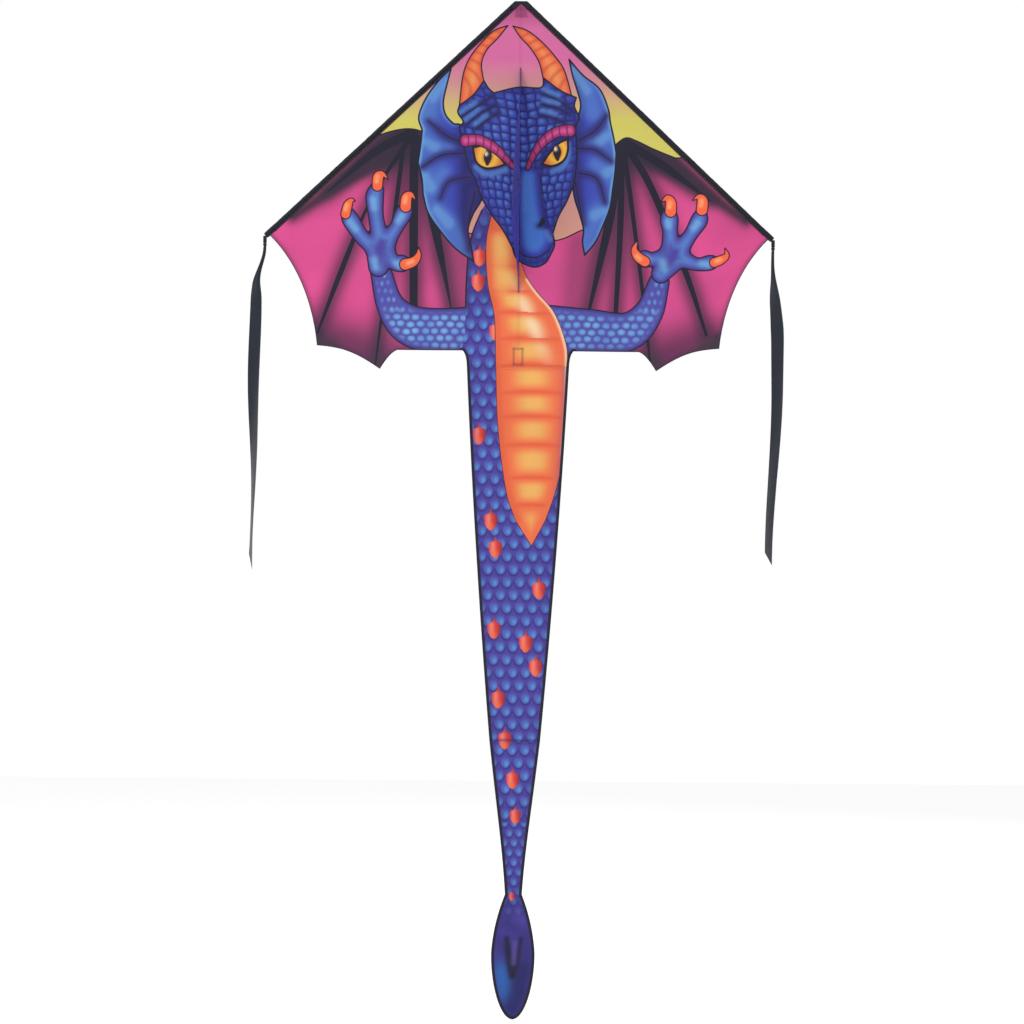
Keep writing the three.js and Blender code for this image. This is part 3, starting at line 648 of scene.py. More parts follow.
def draw_ear(p, side):
    ear = EARS[side]
    p.fill(Outline(*ear["shape"]), paint_ear, EAR, line=1.9)
    for light in ear["light"]:
        p.glow(BLUE_LIGHT, 15, 0.6, *light, only=[EAR])
        p.glow(BLUE_RIM, 7, 0.35, *light[:2], only=[EAR])
    for fold in ear["folds"]:
        p.glow(VIOLET_DARK, 9, 0.85, *fold, only=[EAR])
        p.stroke(*pen_line(fold), only=[EAR])


HORNS = {
    -1: [
        [(-29, 55), (-62, 68), (-92, 98), (-117, 133), (-130, 172), (-137, 236)],
        [(-137, 236), (-110, 222), (-82, 184)],
        [(-82, 184), (-88, 142), (-76, 110), (-52, 84), (-29, 55)],
    ],
    1: [
        [(-18, 56), (14, 66), (46, 90), (76, 122), (99, 156), (118, 220)],
        [(118, 220), (90, 212), (52, 178)],
        [(52, 178), (42, 138), (22, 106), (-2, 80), (-18, 56)],
    ],
}


def draw_horn(p, side):
    base_x = -112 if side < 0 else 88
    plain = rounded(ORANGE_DEEP * 0.85, ORANGE, mix(ORANGE, AMBER, 0.45), 7.5, 21)

    def paint(x, d, inner):
        turn = np.hypot(x - base_x - side * 75, d - 205) + 0.45 * side * (x - base_x)
        ring = 0.5 + 0.5 * np.cos(turn * 2 * math.pi / 15)
        return mix(plain(x, d, inner), ORANGE_DEEP * 0.7, 0.6 * ring**3)

    p.fill(Outline(*HORNS[side]), paint, HORN, line=1.5, detailed=True)


def paint_head(x, d, inner):
    """Rounded plates in rows that run out from the middle of the brow."""
    px = x - 12 - 0.05 * (d - 330)
    stretch = 1 + 0.0016 * (d - 300)
    across = px * stretch + 7 * np.sin(d / 60)
    edge, dx, dd = cells(across, d + 0.16 * np.abs(px), 20, 19, 6, stagger=0.12, loose=0.3)
    raised = smoothstep(0.02, 0.34, edge)
    lit = np.exp(-((dx + 0.12) ** 2 + (dd + 0.15) ** 2) / 0.075)
    side = smoothstep(0, 50, inner)
    middle = mix(BLUE, BLUE_LIGHT, lit * (0.35 + 0.65 * side))
    base = mix(BLUE_DEEP * 0.7, middle, raised)
    return mix(base, BLUE_DEEP, 0.6 * smoothstep(22, 0, inner))


HEAD_SHAPE = [
    [(-137, 236), (-140, 252), (-128, 272), (-136, 286), (-128, 318), (-120, 350), (-112, 378), (-98, 404)],
    [(-98, 404), (-86, 440), (-64, 478), (-36, 516), (-16, 552)],
    [(-16, 552), (-6, 578), (14, 592), (38, 598), (60, 588), (70, 572), (80, 548), (76, 522)],
    [(76, 522), (88, 484), (108, 446), (123, 402), (128, 352), (127, 312), (124, 282), (133, 262), (122, 236),
     (126, 216)],
    [(126, 216), (90, 200), (52, 172)],
    [(52, 172), (46, 194), (-5, 194), (-60, 207)],
    [(-60, 207), (-72, 196), (-82, 180)],
    [(-82, 180), (-106, 212), (-137, 236)],
]


CREST = {
    -1: [
        [(-134, 262), (-100, 240), (-66, 216)],
        [(-121, 278), (-92, 255), (-54, 234)],
        [(-100, 288), (-74, 268), (-48, 250)],
    ],
    1: [
        [(50, 208), (84, 222), (118, 244)],
        [(50, 232), (84, 240), (112, 256)],
        [(48, 256), (78, 264), (102, 272)],
    ],
}


def draw_crest(p):
    """Ridged skin that holds the roots of the horns."""
    for side, valleys in CREST.items():
        for valley in valleys:
            p.glow(BLUE_DEEP * 0.8, 8, 0.9, *[(x, d, 1.5) for x, d in valley], only=[HEAD])
            p.glow(BLUE_LIGHT, 5, 0.7, *[(x + 2 * side, d - 11, 1) for x, d in valley[:2]], only=[HEAD])
        for valley in valleys:
            p.stroke(*pen_line(valley), only=[HEAD])


EYES = {
    -1: {
        "lid": [
            [(-106, 330), (-84, 326), (-58, 338), (-32, 367)],
            [(-32, 367), (-52, 374), (-78, 376), (-98, 362), (-106, 330)],
        ],
        "pupil": (-72, 350),
        "brow": [(-122, 314, 14), (-92, 313, 12), (-58, 330, 11), (-32, 354, 8), (-12, 376, 5)],
    },
    1: {
        "lid": [
            [(50, 366), (66, 342), (86, 320), (108, 308)],
            [(108, 308), (108, 336), (98, 358), (74, 370), (50, 366)],
        ],
        "pupil": (84, 338),
        "brow": [(112, 290, 14), (82, 294, 12), (54, 314, 11), (33, 342, 8), (18, 376, 5)],
    },
}


def draw_eye(p, side):
    eye = EYES[side]
    px, pd = eye["pupil"]
    socket = [(x, d, 4) for run in eye["lid"] for x, d in run]
    cheek = [(x, d + 12, 2) for x, d in eye["lid"][1][:-1]]
    p.shade([HEAD], (BLUE_DEEP, 12, 0.9, *socket), (BLUE_LIGHT, 5, 0.8, *cheek))

    def iris(x, d, inner):
        away = np.hypot(x - px, (d - pd) * 0.8)
        base = ramp(away, (8, EYE_ORANGE), (17, EYE_YELLOW), (30, EYE_ORANGE))
        return mix(base, ORANGE_DEEP, 0.5 * smoothstep(5, 0, inner))

    p.fill(Outline(*eye["lid"]), iris, EYE, line=2.6, detailed=True)
    pupil = Limb([(px - side * 2, pd - 15, 3), (px, pd, 8.5), (px + side, pd + 17, 3)])
    p.fill(pupil, solid_ink, EYE, line=0.9, only=[EYE])
    p.glow(CREAM, 3.4, 1.0, (px - 5, pd - 8, 1), (px - 4, pd - 6, 1), only=[EYE])


def draw_brow(p, side):
    """A beaded ridge over the eye. Its beads are rings round a point beyond its outer end."""
    line = EYES[side]["brow"]
    end, second = np.array(line[:2])[:, :2]
    ring_x, ring_drop = 2.2 * end - 1.2 * second
    plain = rounded(MAGENTA * 0.6, MAGENTA, MAGENTA_LIGHT, 5, 11)

    def paint(x, d, inner):
        bead = np.abs(np.cos(np.hypot(x - ring_x, d - ring_drop) * math.pi / 17))
        return mix(MAGENTA * 0.35, plain(x, d, inner), smoothstep(0.05, 0.5, bead))

    p.fill(Limb(line), paint, BROW, line=1.3, detailed=True)


def draw_snout(p):
    bridge = Outline(
        [(0, 378), (-4, 430), (-2, 500), (4, 560), (22, 578), (48, 578), (68, 560), (78, 540)],
        [(78, 540), (74, 512), (58, 470), (50, 420), (44, 380)],
        [(44, 380), (22, 370), (0, 378)],
    )
    p.fill(bridge, rounded(BLUE_DEEP, BLUE, SNOUT_BLUE, 12, 26.4), SNOUT, line=0)
    p.shade(
        [SNOUT],
        (SNOUT_BLUE, 11, 0.8, (18, 395, 3), (20, 470, 5), (30, 540, 9)),
        (BLUE_LIGHT, 5, 0.4, (12, 400, 1), (13, 470, 1)),
        (BLUE_DEEP, 10, 0.8, (60, 430, 2), (64, 500, 4)),
        (BLUE_DEEP, 7, 0.8, (44, 505, 2), (60, 500, 3)),
    )
    p.glow(BLUE_DEEP, 8, 0.7, (-6, 560, 2), (20, 585, 2), (60, 582, 2), only=[SNOUT, HEAD])
    p.fill(Limb([(54, 488, 2), (52, 496, 5), (47, 504, 3)]), solid_ink, SNOUT, line=0.8)
    p.glow(BLUE_LIGHT, 5, 0.6, (60, 520, 2), (70, 535, 2), only=[SNOUT])
    for line in (
        [(-12, 556, 0.6), (10, 572, 1.3), (40, 576, 1.3), (66, 560, 1.2), (79, 544, 0.6)],
        [(-3, 384, 0.6), (-6, 430, 1.2), (-4, 500, 1.3), (2, 545, 0.6)],
        [(46, 384, 0.6), (52, 425, 1.2), (60, 470, 0.6)],
    ):
        p.stroke(*line, only=[SNOUT, HEAD])


RED_SCALES = (
    (-91, 630), (-88, 574), (-86, 975), (-58, 1168), (-47, 1230), (-49, 1412), (52, 1322), (23, 1442),
    (46, 1496), (-38, 1568), (-22, 1660), (-4, 1750), (3, 1832), (-4, 2014), (-50, 742),
)


RED_SCALE_SIDE = [(0, -26), (-4, -14), (-13, -9), (-13, 6), (-7, 17), (0, 22)]


def draw_red_scale(p, x0, d0):
    size = 0.5 + 0.6 * smoothstep(2050, 1700, d0)
    right = [(-x, d) for x, d in RED_SCALE_SIDE[::-1]]
    runs = [[(x0 + size * x, d0 + size * d) for x, d in run] for run in (RED_SCALE_SIDE, right)]

    def paint(x, d, inner):
        across = np.clip((x - x0) / (26 * size) + 0.5, 0, 1)
        base = ramp(across, (0, RED_SCALE), (0.3, RED_LIGHT), (0.6, RED_SCALE), (1, RED_SCALE * 0.4))
        return mix(base, RED_SCALE * 0.45, 0.7 * smoothstep(d0 - 8, d0 - 20, d))

    p.fill(Outline(*runs), paint, CLAWS, line=0.35, only=[BODY])
    p.glow(ORANGE, 6 * size, 0.7, (x0 - 3, d0 + 12 * size, 1), (x0 - 1, d0 + 15 * size, 1), only=[CLAWS])


def draw_leaf(p):
    """The fin at the end of the tail, with its folded midrib."""
    p.shade(
        [BODY],
        (VIOLET_DEEP, 40, 0.5, (-4, 2120, 5), (-4, 2220, 10)),
        (LEAF_LIGHT, 26, 0.8, (-32, 2190, 3), (-26, 2230, 4)),
        (LEAF_DARK, 22, 0.8, (24, 2180, 4), (4, 2265, 6)),
        (NAVY_INK, 6, 0.85, (-14, 2110, 1), (-8, 2160, 3), (-2, 2195, 2)),
        (NAVY_INK, 5, 0.75, (18, 2110, 0.6), (12, 2150, 1.5), (2, 2192, 2)),
        (LEAF_RIDGE, 5, 0.6, (4, 2120, 1), (2, 2165, 1)),
    )


def draw_pocket_shade(p):
    """Painted shade of the pockets for the spine, where they show through the cloth from behind."""
    # Painted shade over the nose pocket, then along the edges of both pockets.
    p.glow(MEMBRANE_DEEP, 3, 0.6, (0, 14, 3), (0, 28, 6), only=[SKY])
    for half, top, bottom in ((11, 18, 35), (10, 782, 818)):
        corners = [(-half, top), (half, top), (half, bottom), (-half, bottom), (-half, top)]
        for a, b in zip(corners, corners[1:]):
            p.glow(POCKET_SHADE_THROUGH, 2.4, 0.5, (*a, 0.2), (*b, 0.2), only=[SKY, BELLY, BODY])


SKY_SHAPE = [
    [(0, -60), (-600, 340)],
    [(-600, 340), (-378, 336)],
    [(-378, 336), (-320, 306), (-275, 292), (-240, 290), (-205, 300)],
    [(-205, 300), (-140, 520)],
    [(-140, 520), (60, 540), (146, 512)],
    [(146, 512), (190, 430), (205, 330)],
    [(205, 330), (236, 306), (262, 312), (300, 330), (350, 350)],
    [(350, 350), (600, 340)],
    [(600, 340), (0, -60)],
]


def drawn_picture(x, d):
    """The whole print, from the back of the picture to the front."""
    p = Print(x, d)
    p.colour[:] = paint_membrane(x, d, None)
    p.part[:] = WING
    for side in (-1, 1):
        draw_wing(p, side)
    p.fill(Outline(*SKY_SHAPE), paint_sky, SKY, line=1.5)
    for arm in ARMS.values():
        p.fill(Limb(arm), paint_arm, ARM, detailed=True)
    draw_body(p)
    for x0, d0 in RED_SCALES:
        draw_red_scale(p, x0, d0)
    draw_belly(p)
    for side in (-1, 1):
        draw_hand(p, side)
        draw_ear(p, side)
        draw_horn(p, side)
    p.fill(Outline(*HEAD_SHAPE), paint_head, HEAD, line=1.8, detailed=True)
    draw_crest(p)
    draw_snout(p)
    for side in (-1, 1):
        draw_eye(p, side)
        draw_brow(p, side)
    draw_leaf(p)
    draw_pocket_shade(p)
    return p


# ---------------------------------------------------------------- cloth: cutting, bending, stitching

EDGE_RUN = TIP_X - NOSE_HALF_WIDTH
EDGE_LENGTH = math.hypot(EDGE_RUN, TIP_DROP)
ALONG = np.array([EDGE_RUN, TIP_DROP]) / EDGE_LENGTH
INWARD = np.array([-TIP_DROP, EDGE_RUN]) / EDGE_LENGTH
FLAT_AT = 14  # the cloth lies flat this far on each side of the spine


def edge_point(distance, inset):
    """A point (x, drop) of the right wing, from the nose along the leading edge and in from it."""
    return np.array([NOSE_HALF_WIDTH, 0]) + ALONG * distance + INWARD * inset


def bezier(*control, steps=14):
    """A Bezier curve of any order, as points."""
    p = np.array(control, float)
    t = np.linspace(0, 1, steps + 1)[:, None]
    order = len(p) - 1
    terms = [math.comb(order, k) * (1 - t) ** (order - k) * t**k * p[k] for k in range(order + 1)]
    return sum(terms)


def resampled(line, spacing):
    """Evenly spaced points along a line, without its last point."""
    line = np.asarray(line, float)
    lengths = np.concatenate([[0], np.cumsum(np.hypot(*np.diff(line, axis=0).T))])
    count = max(1, round(lengths[-1] / spacing))
    at = np.linspace(0, lengths[-1], count, endpoint=False)
    return np.stack([np.interp(at, lengths, line[:, k]) for k in range(2)], 1)


def line_distance(x, d, *lines):
    """Distance to the nearest of some lines."""
    nearest = np.full(np.shape(x), FAR)
    for line in lines:
        points = np.asarray(line, float)
        for a, b in zip(points, points[1:]):
            nearest = np.minimum(nearest, to_segment(x, d, a, b)[0])
    return nearest


def cut_area(points, tris):
    """The flat area of each triangle."""
    a, b, c = (points[tris[:, k]] for k in range(3))
    (x1, y1), (x2, y2) = (b - a).T, (c - a).T
    return np.abs(x1 * y2 - x2 * y1) / 2


ROW_STEP = 0.866  # between the rows of the triangles, as a share of their side
HOLE_SIDES = 24
SLIVER = 0.02  # area of a useless triangle along a straight edge, in square millimetres


def lattice(low, high, spacing):
    """Staggered rows of points over a box, and which of them a coarser lattice would have."""
    row_step = spacing * ROW_STEP
    rows = np.arange(math.ceil(low[1] / row_step), math.floor(high[1] / row_step) + 1)
    columns = np.arange(math.floor(low[0] / spacing) - 1, math.ceil(high[0] / spacing) + 1)
    i, j = (grid.ravel() for grid in np.meshgrid(columns, rows))
    coarse = (i % COARSE_STEP == 0) & (j % COARSE_STEP == 0)
    return (i + 0.5 * (j % 2)) * spacing, j * row_step, coarse


def from_hole(x, d, hole):
    """Distance outside a round hole (x, drop, radius), or everywhere far when there is none."""
    return np.hypot(x - hole[0], d - hole[1]) - hole[2] if hole else np.full(len(x), FAR)


class Cut:
    """Cloth cut to an outline of runs that meet at corners, and filled with triangles."""

    def __init__(self, *runs, spacing=FINE, hole=None, drawn=None):
        border = np.vstack([resampled(run, spacing) for run in runs])
        ahead = np.roll(border, -1, axis=0)
        if np.sum(border[:, 0] * ahead[:, 1] - ahead[:, 0] * border[:, 1]) < 0:
            border = border[::-1]
        self.loops = [np.arange(len(border))]
        edge = Outline([*border, border[0]], steps=1)
        x, d, coarse = lattice(border.min(0), border.max(0), spacing)
        dist = Outline(*runs, steps=1).distance(x, d)
        keep = (dist < -0.55 * spacing) & (from_hole(x, d, hole) > 0.5 * spacing)
        x, d, coarse, dist = x[keep], d[keep], coarse[keep], dist[keep]
        if hole:
            turn = np.linspace(0, -2 * math.pi, HOLE_SIDES, endpoint=False)
            ring = np.stack([hole[0] + hole[2] * np.cos(turn), hole[1] + hole[2] * np.sin(turn)], 1)
            self.loops.append(len(border) + np.arange(HOLE_SIDES))
            border = np.vstack([border, ring])
        self.print = None
        if drawn:
            self.print = drawn(np.concatenate([border[:, 0], x]), np.concatenate([border[:, 1], d]))
            fine = self.print.fine[len(border):] | (dist > -4 * spacing)
            kept = np.concatenate([np.ones(len(border), bool), fine | coarse])
            self.print.keep(kept)
            x, d = x[kept[len(border):]], d[kept[len(border):]]
        self.points = np.vstack([border, np.stack([x, d], 1)])
        rims = [(int(a), int(b)) for loop in self.loops[1:] for a, b in zip(loop, np.roll(loop, -1))]
        flat = [Vector(p) for p in self.points.tolist()]
        made = delaunay_2d_cdt(flat, rims, [self.loops[0].tolist()], 1, 1e-7, False)
        if len(made[0]) != len(self.points):
            raise ValueError("two points of a cut coincide")
        tris = np.array(made[2])
        middle = self.points[tris].mean(1)
        on_rim = (tris < len(border)).all(1)
        outside = on_rim & (cut_area(self.points, tris) < SLIVER)
        outside[on_rim] |= edge.distance(*middle[on_rim].T) > 0
        if hole:
            outside |= from_hole(*middle.T, hole) < -0.02 * hole[2]
        self.tris = tris[~outside]
        self.area = cut_area(self.points, self.tris).sum() * MM**2


def thickened(cut, place):
    """Both faces of a cloth and its edges. place gives a face's points in millimetres, side +1 or -1."""
    n = len(cut.points)
    u, v = cut.points.T
    verts = np.vstack([place(u, v, -1), place(u, v, 1)])
    faces = [cut.tris[:, ::-1], cut.tris + n]
    slots = [np.zeros(len(cut.tris), int), np.ones(len(cut.tris), int)]
    for loop in cut.loops:
        a, b = loop, np.roll(loop, -1)
        faces += [np.stack([a, b, b + n], 1), np.stack([a, b + n, a + n], 1)]
        slots += [np.zeros(2 * len(loop), int)]
    return verts, np.vstack(faces), np.concatenate(slots)


STITCH = np.array([(-1, 0, 0), (1, 0, 0), (0, 1, 0), (0, -1, 0), (0, 0, 1), (0, 0, -1)], float)
STITCH_FACES = np.array(
    [(0, 3, 4), (3, 1, 4), (1, 2, 4), (2, 0, 4), (3, 0, 5), (1, 3, 5), (2, 1, 5), (0, 2, 5)]
)


STITCH_PITCH = 3.4
STITCH_HALF_SIZE = (1.25, 0.25, 0.28)  # along the row, across it, and up from the cloth
STITCH_LIFT = 0.1


def stitches(line, place):
    """A row of stitches along a line of (u, v), lying on both faces of a cloth."""
    spots = resampled(line, STITCH_PITCH)
    run = np.roll(spots, -1, axis=0) - spots
    run[-1] = run[-2]
    run /= np.maximum(np.hypot(*run.T), 1e-6)[:, None]
    verts, faces = [], []
    for side in (-1, 1):
        middle = place(*spots.T, side)
        ahead = place(*(spots + run).T, side)
        across = place(*(spots + run[:, ::-1] * (-1, 1)).T, side)
        e1 = ahead - middle
        e1 /= np.linalg.norm(e1, axis=1)[:, None]
        e3 = np.cross(e1, across - middle)
        e3 /= np.linalg.norm(e3, axis=1)[:, None]
        e2 = np.cross(e3, e1)
        e3 = e3 * np.sign(np.sum(e3 * (middle - place(*spots.T, -side)), axis=1))[:, None]
        basis = np.stack([e1, e2, e3], 1)
        blocks = middle[:, None] + STITCH_LIFT * e3[:, None]
        blocks = blocks + np.einsum("pk,nkc->npc", STITCH * STITCH_HALF_SIZE, basis)
        order = STITCH_FACES if np.linalg.det(basis[0]) > 0 else STITCH_FACES[:, ::-1]
        start = sum(len(b) for b in verts) + 6 * np.arange(len(spots))
        faces.append((order[None] + start[:, None, None]).reshape(-1, 3))
        verts.append(blocks.reshape(-1, 3))
    return np.vstack(verts), np.vstack(faces)


VALUE_NAMES = {"FLOAT": "value", "FLOAT_VECTOR": "vector", "FLOAT_COLOR": "color"}


def set_attribute(mesh, name, kind, values):
    data = mesh.attributes.new(name, kind, "POINT").data
    data.foreach_set(VALUE_NAMES[kind], np.ascontiguousarray(values, np.float32).ravel())


def linked(name, data):
    made = bpy.data.objects.new(name, data)
    bpy.context.scene.collection.objects.link(made)
    return made


def new_piece(name, verts, faces, materials, slots=None, flat=None):
    """A mesh in millimetres made into a Blender object in metres. flat is the cloth's own plane."""
    verts = np.asarray(verts)
    mesh = bpy.data.meshes.new(name)
    mesh.vertices.add(len(verts))
    mesh.vertices.foreach_set("co", (verts * MM).astype(np.float32).ravel())
    faces = [faces] if isinstance(faces, np.ndarray) else faces
    corners = np.concatenate([f.ravel() for f in faces])
    sizes = np.concatenate([np.full(len(f), f.shape[1]) for f in faces])
    mesh.loops.add(len(corners))
    mesh.loops.foreach_set("vertex_index", corners.astype(np.int32))
    mesh.polygons.add(len(sizes))
    mesh.polygons.foreach_set("loop_start", (np.cumsum(sizes) - sizes).astype(np.int32))
    mesh.polygons.foreach_set("use_smooth", np.ones(len(sizes), bool))
    for material in materials:
        mesh.materials.append(material)
    if slots is not None:
        mesh.polygons.foreach_set("material_index", np.asarray(slots, np.int32))
    mesh.update()
    mesh.validate()
    set_attribute(mesh, "flat", "FLOAT_VECTOR", (verts if flat is None else flat) * MM)
    return linked(name, mesh)


def stands_for(piece, body, node):
    """The body that a piece moves with, and the CAD node that it replaces."""
    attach(piece, body)
    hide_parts(node)


THREAD_SLOT = 2  # after the two faces of the cloth


def cloth_piece(name, cut, place, seams, materials):
    """A printed or plain cloth with its stitched seams, as one object."""
    verts, faces, slots = thickened(cut, place)
    n = len(cut.points)
    flat = np.zeros((len(verts), 3))
    flat[:n, :2] = cut.points
    flat[n:, :2] = cut.points
    for seam in seams:
        more, more_faces = stitches(seam, place)
        faces = np.vstack([faces, more_faces + len(verts)])
        slots = np.concatenate([slots, np.full(len(more_faces), THREAD_SLOT)])
        verts = np.vstack([verts, more])
        flat = np.vstack([flat, more])
    piece = new_piece(name, verts, faces, materials, slots, flat)
    if cut.print is not None:
        rest = len(verts) - 2 * n
        colours = np.vstack([cut.print.colour, cut.print.colour, np.zeros((rest, 3))])
        ink = np.concatenate([cut.print.ink, cut.print.ink, np.full(rest, FAR)])
        set_attribute(piece.data, "print", "FLOAT_COLOR", np.hstack([colours, np.ones((len(verts), 1))]))
        set_attribute(piece.data, "ink", "FLOAT", np.clip(ink, -20, 20))
    return piece


# ---------------------------------------------------------------- how the cloth hangs

BILLOW = 9  # how far each side of the sail bellies back
HELD_REACH = 200  # the tail's seam holds the sail flat, less and less up to this far from the spine


def sail_depth(x, d):
    """How far the sail stands back from the flat, in millimetres: a slack belly with light creases."""
    a = np.abs(x)
    inset = (a - NOSE_HALF_WIDTH) * INWARD[0] + d * INWARD[1]
    along = (a - NOSE_HALF_WIDTH) * ALONG[0] + d * ALONG[1]
    s = np.clip(inset - SLEEVE_WIDTH, 0, None)
    belly = BILLOW * 4 * a * s / (a + s + 1) ** 2 * smoothstep(20, 520, d)
    slack = 1.8 * waves(x, d, 230, 11) + 0.5 * waves(x, d, 80, 12)
    flutter = 3.2 * np.sin(x / 31 + 0.5) * smoothstep(640, 800, d) * smoothstep(150, 220, a)
    pucker = 0.45 * np.sin(along / 7 + 2 * waves(x, d, 90, 13)) * np.exp(-s / 22) * smoothstep(0, 8, s)
    reach = np.hypot(a - TIP_X, d - TIP_DROP)
    spoke = np.arctan2(d - TIP_DROP, a - TIP_X)
    fan = 1.3 * np.sin(spoke * 17) * np.exp(-reach / 170) * smoothstep(10, 60, reach)
    free = smoothstep(FLAT_AT - 2, 60, a) * smoothstep(0, 50, s)
    fixed = smoothstep(700, 812, d) * smoothstep(HELD_REACH, FOLD_HEM_X, a)
    return ((belly + slack + flutter + fan) * free + pucker * smoothstep(12, 40, a)) * (1 - fixed)


def tail_half_width(d):
    drops = [TAIL_TOP_DROP, 1200, TAIL_SEAM_DROP, WAIST[1], 2075, LEAF_SIDE[1], 2230, TAIL_TIP_DROP]
    half_widths = [TAIL_TOP_HALF_WIDTH, 88, TAIL_SEAM_HALF_WIDTH, WAIST[0], 38, LEAF_SIDE[0], 38, 8]
    return np.interp(d, drops, half_widths)


def tail_depth(x, d):
    """The long tail sways a little on its way down, and its sides curl."""
    run = d - TAIL_TOP_DROP
    loose = smoothstep(0, 320, run)
    sway = 7 * np.sin(run / 165) + 2.5 * np.sin(run / 71 + 1)
    twist = 0.045 * x * np.sin(run / 230 + 1)
    curl = 4 * (x / tail_half_width(d)) ** 2 * np.sin(run / 300 + 0.6)
    creases = 0.45 * waves(x, d, 70, 15) * smoothstep(0, 60, run)
    gathered = 0.35 * np.sin(x / 4.2) * np.exp(-np.abs(d - TAIL_SEAM_DROP) / 22)
    return (sway + twist + curl) * loose + creases + gathered * smoothstep(0, 60, run)


def lying(depth, thickness, lift=0):
    """Where the two faces of a cloth lie, for a depth and a thickness that vary over it."""
    def place(u, v, side):
        y = depth(u, v) + lift + side * thickness(u, v) / 2
        return np.stack([u, y, -v], 1)
    return place


def offset(line, distance):
    """A line moved sideways, to the left of its own direction in x and drop."""
    line = np.asarray(line, float)
    run = np.gradient(line, axis=0)
    run /= np.hypot(*run.T)[:, None]
    return line + distance * np.stack([run[:, 1], -run[:, 0]], 1)


def beside(run, distance, spare=2):
    """A seam that follows an edge at some distance and stops short of its ends."""
    return offset(resampled(run, 3), distance)[spare:-spare]


# ---------------------------------------------------------------- materials

def add_node(tree, kind, settings=(), **inputs):
    """A node with its settings, and its inputs as values or as other nodes' outputs."""
    node = tree.nodes.new(kind)
    for key, value in dict(settings).items():
        setattr(node, key, value)
    for key, value in inputs.items():
        socket = node.inputs[int(key[1:])] if key[0] == "_" else node.inputs[key.replace("_", " ")]
        if isinstance(value, bpy.types.NodeSocket):
            tree.links.new(value, socket)
        elif hasattr(value, "__len__") and socket.type == "RGBA":
            socket.default_value = (*value, 1)[:4]
        else:
            socket.default_value = value
    return node


def new_material(name, roughness, **sockets):
    """An empty material whose constant values sit on the shader's own sockets."""
    material = bpy.data.materials.new(name)
    material.use_nodes = True
    shader = material.node_tree.nodes["Principled BSDF"]
    shader.inputs["Roughness"].default_value = roughness
    for key, value in sockets.items():
        socket = shader.inputs[key.replace("_", " ")]
        socket.default_value = (*value, 1) if hasattr(value, "__len__") else value
    return material, material.node_tree, shader


def noise(tree, vector, scale, detail, rough=0.5):
    made = add_node(tree, "ShaderNodeTexNoise", Vector=vector, Scale=scale, Detail=detail, Roughness=rough)
    return made.outputs["Fac"]


def wave(tree, direction, vector, scale, distortion):
    made = add_node(
        tree,
        "ShaderNodeTexWave",
        {"bands_direction": direction},
        Vector=vector,
        Scale=scale,
        Distortion=distortion,
    )
    return made.outputs["Fac"]


def scaled(tree, value, low, high):
    """A value from 0 to 1 stretched to go from low to high."""
    return add_node(tree, "ShaderNodeMapRange", _0=value, _3=low, _4=high).outputs[0]


def multiplied(tree, tint, value):
    made = add_node(tree, "ShaderNodeVectorMath", {"operation": "SCALE"}, _0=tint, Scale=value)
    return made.outputs["Vector"]


def combined(tree, operation, first, *others):
    """Values added or multiplied together."""
    for other in others:
        first = add_node(tree, "ShaderNodeMath", {"operation": operation}, _0=first, _1=other).outputs[0]
    return first


def mixed(tree, share, first, second):
    return add_node(tree, "ShaderNodeMix", {"data_type": "RGBA"}, _0=share, _6=first, _7=second).outputs[2]


def attribute(tree, name, output):
    return add_node(tree, "ShaderNodeAttribute", {"attribute_name": name}).outputs[output]


def flat_place(tree):
    """The cloth's own plane in metres, which stays with the cloth as it bends."""
    return attribute(tree, "flat", "Vector")


def bumped(tree, shader, height, distance, strength=1.0):
    bump = add_node(tree, "ShaderNodeBump", Height=height, Distance=distance, Strength=strength)
    tree.links.new(bump.outputs["Normal"], shader.inputs["Normal"])


WAVE_RATE = 0.314  # scale of the wave node for bands one metre apart
BRICK_SCALE = 100.0


def weave(tree, place, shader, thread=0.0009, ripstop=0.005):
    """Plain weave with a heavier ripstop thread every few millimetres. Returns the ripstop lines."""
    grid = add_node(
        tree,
        "ShaderNodeTexBrick",
        {"offset": 0.0, "squash": 1.0},
        Vector=place,
        Scale=BRICK_SCALE,
        Mortar_Size=0.03,
        Mortar_Smooth=0.6,
        Brick_Width=BRICK_SCALE * ripstop,
        Row_Height=BRICK_SCALE * ripstop,
    ).outputs["Fac"]
    threads = [
        scaled(tree, wave(tree, direction, place, WAVE_RATE / thread, 0.4), 0, 0.12) for direction in "XY"
    ]
    creases = scaled(tree, noise(tree, place, 34, 4), 0, 2.6)
    height = combined(tree, "ADD", *threads, scaled(tree, grid, 0, 0.5), creases)
    bumped(tree, shader, height, 0.00022, 0.75)
    return grid


